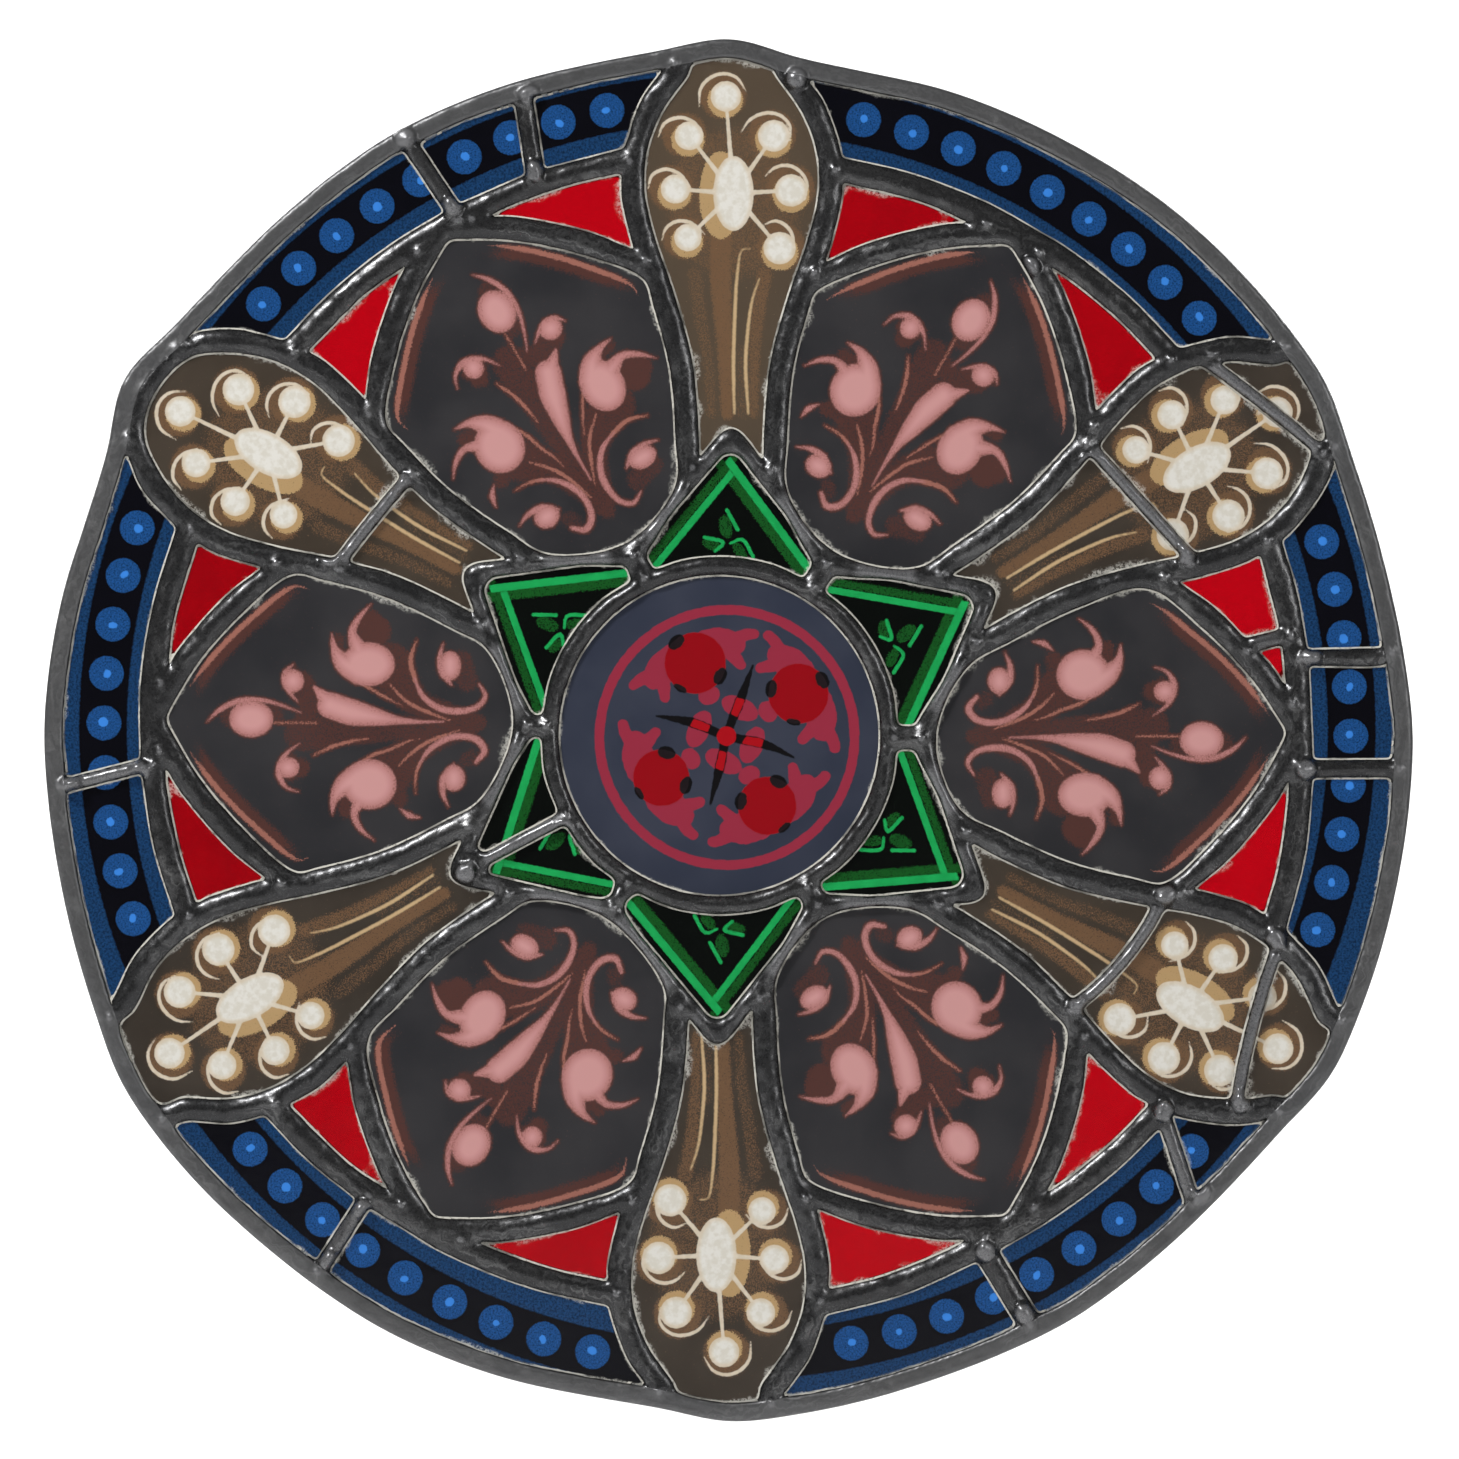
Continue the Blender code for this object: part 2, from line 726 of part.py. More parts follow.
def main():
    clear_scene()
    parts = make_collection("stained_glass_roundel")
    cutters = make_collection("cutters")
    materials = {name: make_material(name) for name in COLOURS}
    panes = all_panes()
    for obj in (make_rim_came(parts, cutters), make_lead_matrix(panes, parts, cutters)):
        obj.data.materials.append(materials["lead"])
    for pane in panes:
        glass = outline_curve(pane.name, [pane.inset(1, more=SLIP)], GLASS_THICKNESS, parts)
        glass.data.materials.append(materials[pane.material])


main()
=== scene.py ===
"""The looks of the stained glass roundel: rounded and soldered lead cames, and painted, see-through panes.

Distances in the panel's plane are in millimetres from the middle of the roundel, x to the right and z up.
A pane's painting is held in its mesh as distances from the edges of the painted shapes, which its material
turns into crisp paint, and as shades between 0 and 1, which it turns into stippling or an even tone.
"""

import math

import bpy
import numpy as np
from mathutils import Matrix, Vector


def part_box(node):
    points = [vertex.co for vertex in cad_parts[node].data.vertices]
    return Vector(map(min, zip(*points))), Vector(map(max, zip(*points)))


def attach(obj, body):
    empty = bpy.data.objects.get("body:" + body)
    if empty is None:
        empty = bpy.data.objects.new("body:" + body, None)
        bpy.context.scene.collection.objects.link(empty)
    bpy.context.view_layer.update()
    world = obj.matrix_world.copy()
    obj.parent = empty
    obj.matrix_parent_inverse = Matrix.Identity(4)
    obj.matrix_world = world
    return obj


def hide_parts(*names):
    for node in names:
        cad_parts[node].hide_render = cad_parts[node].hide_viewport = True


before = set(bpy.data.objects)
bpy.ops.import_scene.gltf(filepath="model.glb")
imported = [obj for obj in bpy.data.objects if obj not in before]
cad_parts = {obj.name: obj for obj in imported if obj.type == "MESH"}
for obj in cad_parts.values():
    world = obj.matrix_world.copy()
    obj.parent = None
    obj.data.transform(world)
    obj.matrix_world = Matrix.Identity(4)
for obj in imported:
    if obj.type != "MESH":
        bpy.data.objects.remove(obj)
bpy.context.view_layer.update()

MM = 0.001
CENTRE_HEIGHT = 224.7
GLASS_FRONT = -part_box("centre_disc")[0][1] / MM
GLASS_BACK = -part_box("centre_disc")[1][1] / MM
PANEL_THICKNESS = (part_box("rim_came")[1][1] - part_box("rim_came")[0][1]) / MM

# Meshes: how far apart their points are, and how far glass and cement run past the lead's edge
OUTLINE_SPACING = 0.8
LEAD_SPACING = 1.0
LEAD_BACK_SPACING = 1.6
GLASS_UNDER_LEAD = 1.0
CEMENT_WIDTH = 0.5
CAD_FINENESS = 1000

# Distances are worked out tile by tile, and are true up to this reach
REACH = 9.0
TILE = 6.0

# Outlines by kind of pane: the least corner that stays sharp, in degrees, the distance from the middle at
# which all corners are rounded, and how many times the outline is softened
CORNER_SOFTENING = 3
PLAIN_OUTLINE = (36, math.inf, CORNER_SOFTENING)
OUTLINES = {"pointed": (55, math.inf, 12), "petal": (36, 214, 6)}
LEAST_LEFT_CORNER = 40
CORNER_CONTRAST = 1.5
RIM_SPACING = 2.0
RIM_SOFTENING = 6

# How far the sides of a star point bow out, from where, and over what distance that begins
STAR_BOW = 2.6
STAR_BOW_START = 60
STAR_BOW_RISE = 12

# The section of the cames, as heights over the glass
CAME_EDGE_HEIGHT = 0.9
CAME_CROWN_HEIGHT = 2.4
CAME_EDGE_ROUNDING = 0.6
CAME_EDGE_SHARE = 0.55
CAME_HALF_FACE = 3.9
LEAST_HALF_FACE = 1.5
CEMENT_DEPTH = 0.05
DENTS = ((0.12, 14, 1), (0.07, 5, 2))

# Cames narrower than this are round rods, as at the mends
ROD_HALF_FACE = 3.3
ROD_FADE = 0.9
ROD_EXTRA = 0.9

# The rim came, which is lower and rolls over at its edge
RIM_FACE = 6.2
RIM_HEIGHT = 1.6
RIM_CROWN = 0.15
RIM_ROLL = 0.9
RIM_ROUNDING = 1.2
RIM_BLEND = 1.6
RIM_MARGIN = 2

# The back is a little flatter than the front
CAME_BACK_SHARE = 0.8
RIM_BACK_SHARE = 0.85

# Solder where cames meet, and round balls of it, mostly at the ends of the mends and of the border's joints
SOLDER_HEIGHT = 1.1
SOLDER_REACH = 2.2
SOLDER_FADE = 2.0
ROD_SOLDER = 0.7
BALL_RADIUS = 3.8
BALL_HEIGHT = 2.6
BALL_FADE = 1.2
SOLDER_BALLS = (
    (-107.3, 80.9), (-131.3, 56.9), (-54.0, -32.9), (-86.9, -47.4), (-91.1, 172.1), (-106.6, 194.4),
    (-64.5, 183.6), (-65.5, 208.3), (-193.8, -13.8), (-216.5, -18.1), (-120.7, -157.9), (-131.5, -174.7),
    (84.2, -171.7), (97.0, -192.1), (142.8, -125.7), (155.0, -152.0), (189.5, -13.2), (191.1, 24.0),
    (143.4, -54.3), (114.8, -90.5), (179.6, -69.1), (168.1, -122.4), (150.0, 57.6), (118.1, 87.5),
    (22.0, 214.0), (98.5, 152.0), (-72.0, -137.5),
)

HOURS = {
    "12": 90, "01": 60, "02": 30, "03": 0, "04": -30, "05": -60, "06": -90, "07": -120, "08": -150, "09": 180,
    "10": 150, "11": 120,
}


# Reading the CAD outlines


def chained(steps):
    """Directed edges joined up into loops of point numbers."""
    following = dict(steps)
    loops = []
    while following:
        start, point = following.popitem()
        loop = [start]
        while point != start:
            loop.append(point)
            point = following.pop(point)
        loops.append(loop)
    return loops


def front_loops(node):
    """The loops round a CAD node's front face, as arrays of points with the material on their left."""
    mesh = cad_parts[node].data
    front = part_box(node)[0][1]
    places = np.array([vertex.co for vertex in mesh.vertices]) / MM
    unique, index = np.unique(np.round(places * CAD_FINENESS).astype(int), axis=0, return_inverse=True)
    index = index.ravel()
    edges = set()
    for face in mesh.polygons:
        if face.normal.y < -0.9 and abs(face.center.y - front) < 1e-5:
            ring = [int(index[vertex]) for vertex in face.vertices]
            for a, b in zip(ring, ring[1:] + ring[:1]):
                if (b, a) in edges:
                    edges.remove((b, a))
                else:
                    edges.add((a, b))
    return [unique[loop][:, [0, 2]] / CAD_FINENESS - (0, CENTRE_HEIGHT) for loop in chained(edges)]


def is_inside(points, starts, ends):
    """Which points lie inside a closed loop, given by its segments that pass at their height."""
    x, z = points[:, :1], points[:, 1:]
    (ax, az), (bx, bz) = starts.T, ends.T
    spans = (az > z) != (bz > z)
    with np.errstate(divide="ignore", invalid="ignore"):
        crossing = ax + (z - az) / (bz - az) * (bx - ax)
    return (np.sum(spans & (x < crossing), axis=1) % 2) == 1


def run_inside(loop, outline):
    """The stretch of a loop that lies inside an outline, in order, or nothing."""
    hit = is_inside(loop, outline, np.roll(outline, -1, axis=0))
    if not hit.any() or hit.all():
        return loop[hit]
    start = next(i for i in range(len(loop)) if hit[i] and not hit[i - 1])
    rolled = np.roll(loop, -start, axis=0)
    return rolled[np.roll(hit, -start)]


def sight_outline(glass_outline, lead_loops):
    """The part of a pane that shows: the lead's edges that run inside the glass outline, anticlockwise."""
    runs = [run_inside(loop, glass_outline) for loop in lead_loops]
    return np.concatenate([run for run in runs if len(run)])[::-1]


def blend(a, b, start, end, t):
    """a where t is at start, b where it is at end, and in proportion between and beyond."""
    return ((end - t) * a + (t - start) * b) / (end - start)


def spline(knots, closed, spacing):
    """Points at about this spacing along a smooth curve through the knots."""
    if closed:
        knots = np.concatenate([knots[-1:], knots, knots[:2]])
    else:
        knots = np.concatenate([2 * knots[:1] - knots[1:2], knots, 2 * knots[-1:] - knots[-2:-1]])
    pieces = []
    for p0, p1, p2, p3 in zip(knots, knots[1:], knots[2:], knots[3:]):
        t1 = np.linalg.norm(p1 - p0) ** 0.5
        length = np.linalg.norm(p2 - p1)
        t2 = t1 + length**0.5
        t3 = t2 + np.linalg.norm(p3 - p2) ** 0.5
        t = np.linspace(t1, t2, max(2, math.ceil(length / spacing) + 1))[:-1, None]
        a = blend(p1, p2, t1, t2, t)
        left = blend(blend(p0, p1, 0, t1, t), a, 0, t2, t)
        right = blend(a, blend(p2, p3, t2, t3, t), t1, t3, t)
        pieces.append(blend(left, right, t1, t2, t))
    if not closed:
        pieces.append(knots[-2:-1])
    return np.concatenate(pieces)


def ray(angle):
    """The direction at this many degrees, anticlockwise from the right."""
    return np.array((math.cos(math.radians(angle)), math.sin(math.radians(angle))))


def softened(loop, times):
    for _ in range(times):
        loop = loop / 2 + (np.roll(loop, 1, axis=0) + np.roll(loop, -1, axis=0)) / 4
    return loop


def lengths(vectors):
    return np.linalg.norm(vectors, axis=1)


def unit(share):
    """A share held between 0 and 1."""
    return np.clip(share, 0, 1)


def eased(share):
    """A share from 0 to 1 that starts and ends gently."""
    return share * share * (3 - 2 * share)


def smooth_outline(loop, kind):
    """A CAD outline with its many-sided curves made smooth, and its true corners only a little rounded."""
    least, farthest, softening = OUTLINES.get(kind, PLAIN_OUTLINE)
    way = np.roll(loop, -1, axis=0) - loop
    heading = np.arctan2(way[:, 1], way[:, 0])
    left = (heading - np.roll(heading, 1) + math.pi) % (2 * math.pi) - math.pi
    turn = np.abs(left)
    beside = np.maximum(np.roll(turn, 1), np.roll(turn, -1))
    sharp = (turn > math.radians(least)) & (turn > CORNER_CONTRAST * beside)
    sharp |= left > math.radians(max(least, LEAST_LEFT_CORNER))
    corners = np.flatnonzero(sharp & (lengths(loop) < farthest))
    if not len(corners):
        dense = spline(loop, True, OUTLINE_SPACING)
    else:
        rolled = np.roll(loop, -corners[0], axis=0)
        stops = list(corners - corners[0]) + [len(loop)]
        closed = np.concatenate([rolled, rolled[:1]])
        runs = [spline(closed[a : b + 1], False, OUTLINE_SPACING)[:-1] for a, b in zip(stops, stops[1:])]
        dense = np.concatenate(runs)
    return softened(dense, softening)


def bowed(loop, angle, halved):
    """A star point's outline with its long sides bowed out and its tip rounded, but not along a mend."""
    along = np.roll(loop, -1, axis=0) - np.roll(loop, 1, axis=0)
    outward = np.stack([along[:, 1], -along[:, 0]], axis=1) / lengths(along)[:, None]
    share = unit((lengths(loop) - STAR_BOW_START) / STAR_BOW_RISE)
    if halved:
        across = ray(angle - 90)
        share = np.where(np.mean(loop @ across) * (outward @ across) > 0, share, 0)
    return softened(loop + STAR_BOW * eased(share)[:, None] * outward, CORNER_SOFTENING)


def distance_outside(points, loop):
    """Distance from a closed loop's edge, positive outside it and negative inside, true only within REACH."""
    ends = np.roll(loop, -1, axis=0)
    seg_low, seg_high = np.minimum(loop, ends), np.maximum(loop, ends)
    keys, index = np.unique(np.floor(points / TILE).astype(int), axis=0, return_inverse=True)
    order = np.argsort(index.ravel(), kind="stable")
    stops = np.searchsorted(index.ravel()[order], np.arange(len(keys) + 1))
    result = np.empty(len(points))
    for key, start, stop in zip(keys, stops, stops[1:]):
        members = order[start:stop]
        some = points[members]
        low, high = key * TILE - REACH, (key + 1) * TILE + REACH
        near = np.all((seg_high > low) & (seg_low < high), axis=1)
        level = (seg_high[:, 1] >= key[1] * TILE) & (seg_low[:, 1] <= (key[1] + 1) * TILE)
        if not near.any():
            result[members] = -REACH if is_inside(some[:1], loop[level], ends[level])[0] else REACH
            continue
        a = loop[near]
        along = ends[near] - a
        offset = some[:, None, :] - a[None]
        share = unit(np.sum(offset * along, axis=2) / np.maximum(np.sum(along**2, axis=1), 1e-12))
        gap = offset - share[:, :, None] * along
        nearest = np.minimum(np.sqrt(np.min(np.sum(gap**2, axis=2), axis=1)), REACH)
        result[members] = np.where(is_inside(some, loop[level], ends[level]), -nearest, nearest)
    return result


class Pane:
    """One piece of glass: its node and the smooth outline of the part that shows."""

    def __init__(self, node, lead_loops):
        self.node = node
        self.kind = node.split("_")[0]
        self.hour = next((part for part in node.split("_") if part in HOURS), None)
        self.outline = smooth_outline(sight_outline(front_loops(node)[0], lead_loops), self.kind)
        if self.kind == "star":
            self.outline = bowed(self.outline, HOURS[self.hour], "left" in node or "right" in node)
        self.low = self.outline.min(axis=0)
        self.high = self.outline.max(axis=0)


LEAD_LOOPS = front_loops("lead_matrix") + front_loops("rim_came")
OUTER_LOOP = max(front_loops("rim_came"), key=lambda loop: np.ptp(loop[:, 0]))
RIM_OUTLINE = softened(spline(OUTER_LOOP, True, RIM_SPACING), RIM_SOFTENING)
PANES = [Pane(name, LEAD_LOOPS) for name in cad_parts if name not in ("lead_matrix", "rim_came")]


def lead_distances(points):
    """The distances to the three nearest panes, nearest first, and the distance inside the rim's edge."""
    nearest = np.full((len(points), 3), REACH)
    for pane in PANES:
        gap = np.full(len(points), REACH)
        near = np.all((points > pane.low - REACH) & (points < pane.high + REACH), axis=1)
        if near.any():
            gap[near] = distance_outside(points[near], pane.outline)
        nearest = np.sort(np.concatenate([nearest, gap[:, None]], axis=1), axis=1)[:, :3]
    return nearest, -distance_outside(points, RIM_OUTLINE)


# Waves that make hand work uneven

WAVE_COUNT = 7


def waves(points, size, seed):
    """A smooth uneven value between about -1 and 1, whose bumps are about this size across."""
    random = np.random.default_rng(seed)
    total = np.zeros(len(points))
    for _ in range(WAVE_COUNT):
        direction = random.normal(size=2)
        direction *= 2 * math.pi / (size * random.uniform(0.7, 1.6) * np.linalg.norm(direction))
        total += np.sin(points @ direction + random.uniform(0, 2 * math.pi))
    return total / (WAVE_COUNT / 2)


# Flat meshes cut from a lattice


def lattice(low, high, spacing):
    """Evenly spaced points over a box, in offset rows, with the triangles between them."""
    rise = spacing * math.sqrt(0.75)
    columns = math.ceil((high[0] - low[0]) / spacing) + 2
    rows = math.ceil((high[1] - low[1]) / rise) + 1
    row, column = np.meshgrid(np.arange(rows), np.arange(columns), indexing="ij")
    x = low[0] + (column - 0.5 * (row % 2)) * spacing
    z = low[1] + row * rise
    points = np.stack([x.ravel(), z.ravel()], axis=1)
    corner = (row * columns + column)[:-1, :-1]
    right, up = corner + 1, corner + columns
    diagonal = up + 1
    odd = (row % 2)[:-1, :-1, None] == 1
    first = np.where(odd, np.stack([corner, right, up], -1), np.stack([corner, right, diagonal], -1))
    second = np.where(odd, np.stack([right, diagonal, up], -1), np.stack([corner, diagonal, up], -1))
    return points, np.concatenate([first.reshape(-1, 3), second.reshape(-1, 3)])


PULL_SHARE = 0.3
PULL_STEP = 0.05
LEAST_SLOPE = 0.5


def pull_to_edge(points, level, field, spacing):
    """Moves the points close to the field's edge onto it, so that no slivers are left there."""
    near = np.abs(level) < PULL_SHARE * spacing
    right = field(points[near] + (PULL_STEP, 0))
    up = field(points[near] + (0, PULL_STEP))
    slope = np.stack([right - level[near], up - level[near]], axis=1) / PULL_STEP
    slope /= np.maximum(np.sum(slope**2, axis=1), LEAST_SLOPE**2)[:, None]
    points[near] -= slope * level[near][:, None]
    level[near] = 0


def cut(points, triangles, level):
    """The part of a flat mesh where level is positive, its edge cut straight through the triangles."""
    sign = np.sign(level[triangles])
    whole = (sign.min(axis=1) >= 0) & (sign.max(axis=1) > 0)
    mixed = triangles[(sign.min(axis=1) < 0) & (sign.max(axis=1) > 0)]
    extra, where, new = [], {}, []

    def crossing(a, b):
        key = (min(a, b), max(a, b))
        if key not in where:
            share = level[a] / (level[a] - level[b])
            where[key] = len(points) + len(extra)
            extra.append(points[a] + share * (points[b] - points[a]))
        return where[key]

    for triangle in mixed.tolist():
        ring = []
        for a, b in zip(triangle, triangle[1:] + triangle[:1]):
            if level[a] >= 0:
                ring.append(a)
            if level[a] * level[b] < 0:
                ring.append(crossing(a, b))
        new += [(ring[0], ring[i], ring[i + 1]) for i in range(1, len(ring) - 1)]
    kept = np.concatenate([triangles[whole], np.array(new, dtype=int).reshape(-1, 3)])
    everything = np.concatenate([points, np.array(extra).reshape(-1, 2)])
    used, index = np.unique(kept, return_inverse=True)
    return everything[used], index.reshape(-1, 3)


def flat_region(field, low, high, spacing):
    """A flat mesh of the places in a box where the field is positive."""
    points, triangles = lattice(low, high, spacing)
    level = field(points)
    pull_to_edge(points, level, field, spacing)
    return cut(points, triangles, level)


def edge_steps(triangles):
    """The directed edges round a flat mesh."""
    steps = np.concatenate([triangles[:, [0, 1]], triangles[:, [1, 2]], triangles[:, [2, 0]]])
    size = steps.max() + 1
    forward = steps[:, 0] * size + steps[:, 1]
    backward = steps[:, 1] * size + steps[:, 0]
    return steps[~np.isin(forward, backward)].tolist()


def place(points, depth):
    """Points of the panel's plane, at these depths in front of its back, as places in metres."""
    return np.stack([points[:, 0], -depth, points[:, 1] + CENTRE_HEIGHT], axis=1) * MM


def add_object(name, data):
    item = bpy.data.objects.new(name, data)
    bpy.context.scene.collection.objects.link(item)
    return item


def make_piece(name, vertices, faces, materials, values, node=None, face_materials=None):
    """A mesh object that rides on the part and holds values at its points."""
    mesh = bpy.data.meshes.new(name)
    mesh.from_pydata(vertices.tolist(), [], faces)
    for material in materials:
        mesh.materials.append(material)
    if face_materials is not None:
        mesh.polygons.foreach_set("material_index", face_materials)
    for key, value in values.items():
        attribute = mesh.attributes.new(key, "FLOAT", "POINT")
        attribute.data.foreach_set("value", np.asarray(value, dtype=np.float32))
    mesh.polygons.foreach_set("use_smooth", [len(face) == 3 for face in faces])
    mesh.update()
    piece = add_object(name, mesh)
    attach(piece, "root")
    if node:
        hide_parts(node)


# Material building


class Shader:
    """A Principled material, its colour so far, and the few node shapes that the finishes are built from."""

    def __init__(self, name):
        self.material = bpy.data.materials.new(name)
        self.material.use_nodes = True
        self.tree = self.material.node_tree
        self.colour = (0, 0, 0)
        self.millimetres = self.vector("SCALE", self.node("TexCoord").outputs["Object"], Scale=1 / MM)

    def feed(self, socket, value):
        """Fills a socket with a node's output, a value held in the mesh under this name, or a constant."""
        if isinstance(value, str):
            node = self.node("Attribute")
            node.attribute_name = value
            value = node.outputs["Fac"]
        if isinstance(value, bpy.types.NodeSocket):
            self.tree.links.new(value, socket)
        else:
            socket.default_value = (*value, 1) if socket.type == "RGBA" else value

    def node(self, kind, *values, operation=None, **named):
        """A new shader node, its sockets filled in order or by name."""
        node = self.tree.nodes.new("ShaderNode" + kind)
        if operation:
            node.operation = operation
        for key, value in (*enumerate(values), *named.items()):
            self.feed(node.inputs[key], value)
        return node

    def vector(self, operation, *values, **named):
        return self.node("VectorMath", *values, operation=operation, **named).outputs[0]

    def link(self, name, value):
        """Fills a socket of the surface."""
        self.feed(self.tree.nodes["Principled BSDF"].inputs[name], value)

    def noise(self, size, detail=2, roughness=0.5, stretch=None):
        """Noise from 0 to 1 with features of about this many millimetres."""
        source = self.vector("MULTIPLY", self.millimetres, stretch) if stretch else self.millimetres
        node = self.node("TexNoise", Vector=source, Scale=1 / size, Detail=detail, Roughness=roughness)
        return node.outputs["Fac"]

    def streaks(self, name, width, length, wander=9):
        """Noise from 0 to 1 in streaks that keep to one distance, held in the mesh, from an edge."""
        shifted = self.plus(name, self.times(self.noise(length / 2, 3), wander))
        across = self.node("CombineXYZ", self.math("DIVIDE", shifted, width)).outputs[0]
        source = self.vector("MULTIPLY_ADD", self.millimetres, (1 / length, 1 / length, 1 / length), across)
        return self.node("TexNoise", Vector=source, Scale=1, Detail=3).outputs["Fac"]

    def math(self, operation, a, b):
        return self.node("Math", a, b, operation=operation).outputs[0]

    def times(self, a, b):
        return self.math("MULTIPLY", a, b)

    def plus(self, a, b):
        return self.math("ADD", a, b)

    def wobble(self, size, detail, span):
        """Noise round 0, over this span."""
        return self.times(self.math("SUBTRACT", self.noise(size, detail), 0.5), span)

    def ramp(self, value, low, high, start=0, end=1):
        """start where value is low, end where it is high, and smooth between; low may be above high."""
        if low > high:
            low, high, start, end = high, low, end, start
        node = self.node("MapRange", value, low, high, start, end)
        node.interpolation_type = "SMOOTHSTEP"
        return node.outputs["Result"]

    def mix(self, share, a, b):
        """Colours or numbers mixed: a where share is 0, b where it is 1."""
        colour = isinstance(a, tuple) or isinstance(b, tuple) or getattr(a, "type", "") == "RGBA"
        node = self.node("Mix", share)
        node.data_type = "RGBA" if colour else "FLOAT"
        kind = "RGBA" if colour else "VALUE"
        sockets = [socket for socket in node.inputs if socket.type == kind]
        self.feed(sockets[-2], a)
        self.feed(sockets[-1], b)
        return next(socket for socket in node.outputs if socket.type == kind)

    def patches(self, noise, a, b):
        """Two colours or numbers in soft patches."""
        return self.mix(self.ramp(noise, 0.3, 0.7), a, b)

    def lay(self, share, colour):
        """Lays a colour over what is there already."""
        self.colour = self.mix(share, self.colour, colour)

    def stipple(self, amount):
        """Fine brushed dots, denser where amount is high."""
        wanted = self.math("SUBTRACT", 0.84, self.times(amount, 0.6))
        return self.ramp(self.math("SUBTRACT", self.noise(0.35, 1, 0.4), wanted), -0.1, 0.1)

    def ragged(self, distance, reach=0.25, size=1.2, sharp=0.22):
        """1 inside a painted shape, with a slightly uneven hand-painted edge."""
        return self.ramp(self.plus(distance, self.wobble(size, 2, 2 * reach)), sharp, -sharp)

    def bump(self, height, distance):
        self.link("Normal", self.node("Bump", Distance=distance * MM, Height=height).outputs["Normal"])


def srgb(red, green, blue):
    """A colour given as it looks on a screen, from 0 to 255, as the shader's linear values."""
    values = []
    for part in (red, green, blue):
        part /= 255
        values.append(part / 12.92 if part <= 0.04045 else ((part + 0.055) / 1.055) ** 2.4)
    return tuple(values)


# Lead

CEMENT = srgb(205, 202, 192)
# Painted shade: near-black laid on the lead in the crevice where it meets the glass
CREVICE_SHADE = srgb(14, 14, 14)
SOLDER = srgb(128, 128, 130)
SOLDER_SHINE = 0.45
CEMENT_ROUGHNESS = 0.9


def lead_material(name, dark, light, roughness, shine):
    """Old lead: dark patina, brighter streaks along the cames, painted shade in the crevice by the glass, and
    a line of pale cement at the glass.
    """
    shader = Shader(name)
    solder = shader.ramp("solder", 0.3, 0.8)
    grain = shader.noise(0.9, 3, 0.6)
    streaks = shader.streaks("edge", 1, 9)
    worn = shader.times(shader.ramp(streaks, 0.4, 0.7), shader.ramp(shader.noise(16, 3), 0.3, 0.6))
    crumbled = shader.ramp(shader.noise(1.2, 2), 0.3, 0.45, 0.5, 1)
    fallen_out = shader.ramp(shader.noise(13, 2), 0.36, 0.5, 0.45, 1)
    line = shader.ramp(shader.plus("edge", shader.wobble(5, 3, 0.5)), 0.14, -0.02)
    cement = shader.times(line, shader.times(crumbled, fallen_out))
    shader.colour = shader.patches(grain, tuple(0.88 * part for part in dark), dark)
    shader.lay(shader.times(worn, 0.4), light)
    shader.lay(shader.times(solder, 0.7), SOLDER)
    # Painted shade darkens the lead's edge next to the glass, where shadow falls in the crevice
    shader.lay(shader.ramp("edge", 0.55, 0.2, 0, 0.8), CREVICE_SHADE)
    shader.lay(cement, CEMENT)
    shader.link("Base Color", shader.colour)
    shader.link("Metallic", shader.mix(cement, shader.mix(solder, shine, SOLDER_SHINE), 0))
    rough = shader.patches(grain, roughness - 0.04, roughness + 0.06)
    shader.link("Roughness", shader.mix(cement, rough, CEMENT_ROUGHNESS))
    fine = shader.plus(shader.times(grain, 0.02), shader.times(streaks, 0.05))
    shader.bump(shader.plus(shader.noise(9, 2, 0.4), fine), 1)
    return shader.material


def lead_height(points):
    """Height of the lead over the glass, with the nearest glass's distance and how much solder lies there."""
    nearest, inside_rim = lead_distances(points)
    gap = nearest[:, 0]
    half = np.clip((gap + nearest[:, 1]) / 2, LEAST_HALF_FACE, CAME_HALF_FACE)
    short = 1 - unit(gap / half)
    rod = unit((ROD_HALF_FACE - half) / ROD_FADE)
    domed = (1 - short**2) * (1 - rod) + np.sqrt(1 - short**2) * rod
    came = CAME_EDGE_HEIGHT + (CAME_CROWN_HEIGHT - CAME_EDGE_HEIGHT + ROD_EXTRA * rod) * domed
    rolled = unit(1 - inside_rim / RIM_ROUNDING)
    rim = RIM_HEIGHT + RIM_CROWN * unit(gap / 2) - RIM_ROLL * rolled**2
    height = rim + (came - rim) * eased(unit((inside_rim - RIM_FACE) / RIM_BLEND + 0.5))
    three = np.sort(np.concatenate([nearest, np.maximum(inside_rim, 0)[:, None]], axis=1), axis=1)
    uneven = (three[:, 2] - three[:, 0]) / SOLDER_REACH
    solder = np.exp(-(uneven**2)) * unit(gap / SOLDER_FADE) * unit(inside_rim / SOLDER_FADE)
    height += SOLDER_HEIGHT * solder * (1 + 0.5 * waves(points, 9, 5) + 0.5 * rod)
    for ball in SOLDER_BALLS:
        spread = lengths(points - ball) / BALL_RADIUS
        share = np.sqrt(unit(1 - spread**2)) * unit(gap / BALL_FADE)
        height += BALL_HEIGHT * share
        solder = np.maximum(solder, share)
    height += sum(depth * waves(points, size, seed) for depth, size, seed in DENTS)
    edge = np.sin(unit(gap / CAME_EDGE_ROUNDING) * math.pi / 2)
    height *= CAME_EDGE_SHARE + (1 - CAME_EDGE_SHARE) * edge
    height *= np.where(gap < 0, unit(1 + gap / CEMENT_WIDTH), 1)
    return np.maximum(height, -CEMENT_DEPTH), gap, np.maximum(solder, ROD_SOLDER * rod * (gap > 0))


def in_matrix(points):
    nearest, inside_rim = lead_distances(points)
    return np.minimum(nearest[:, 0] + CEMENT_WIDTH, inside_rim - RIM_FACE)


def in_rim(points):
    nearest, inside_rim = lead_distances(points)
    return joined(nearest[:, 0] + CEMENT_WIDTH, RIM_FACE - inside_rim, inside_rim)


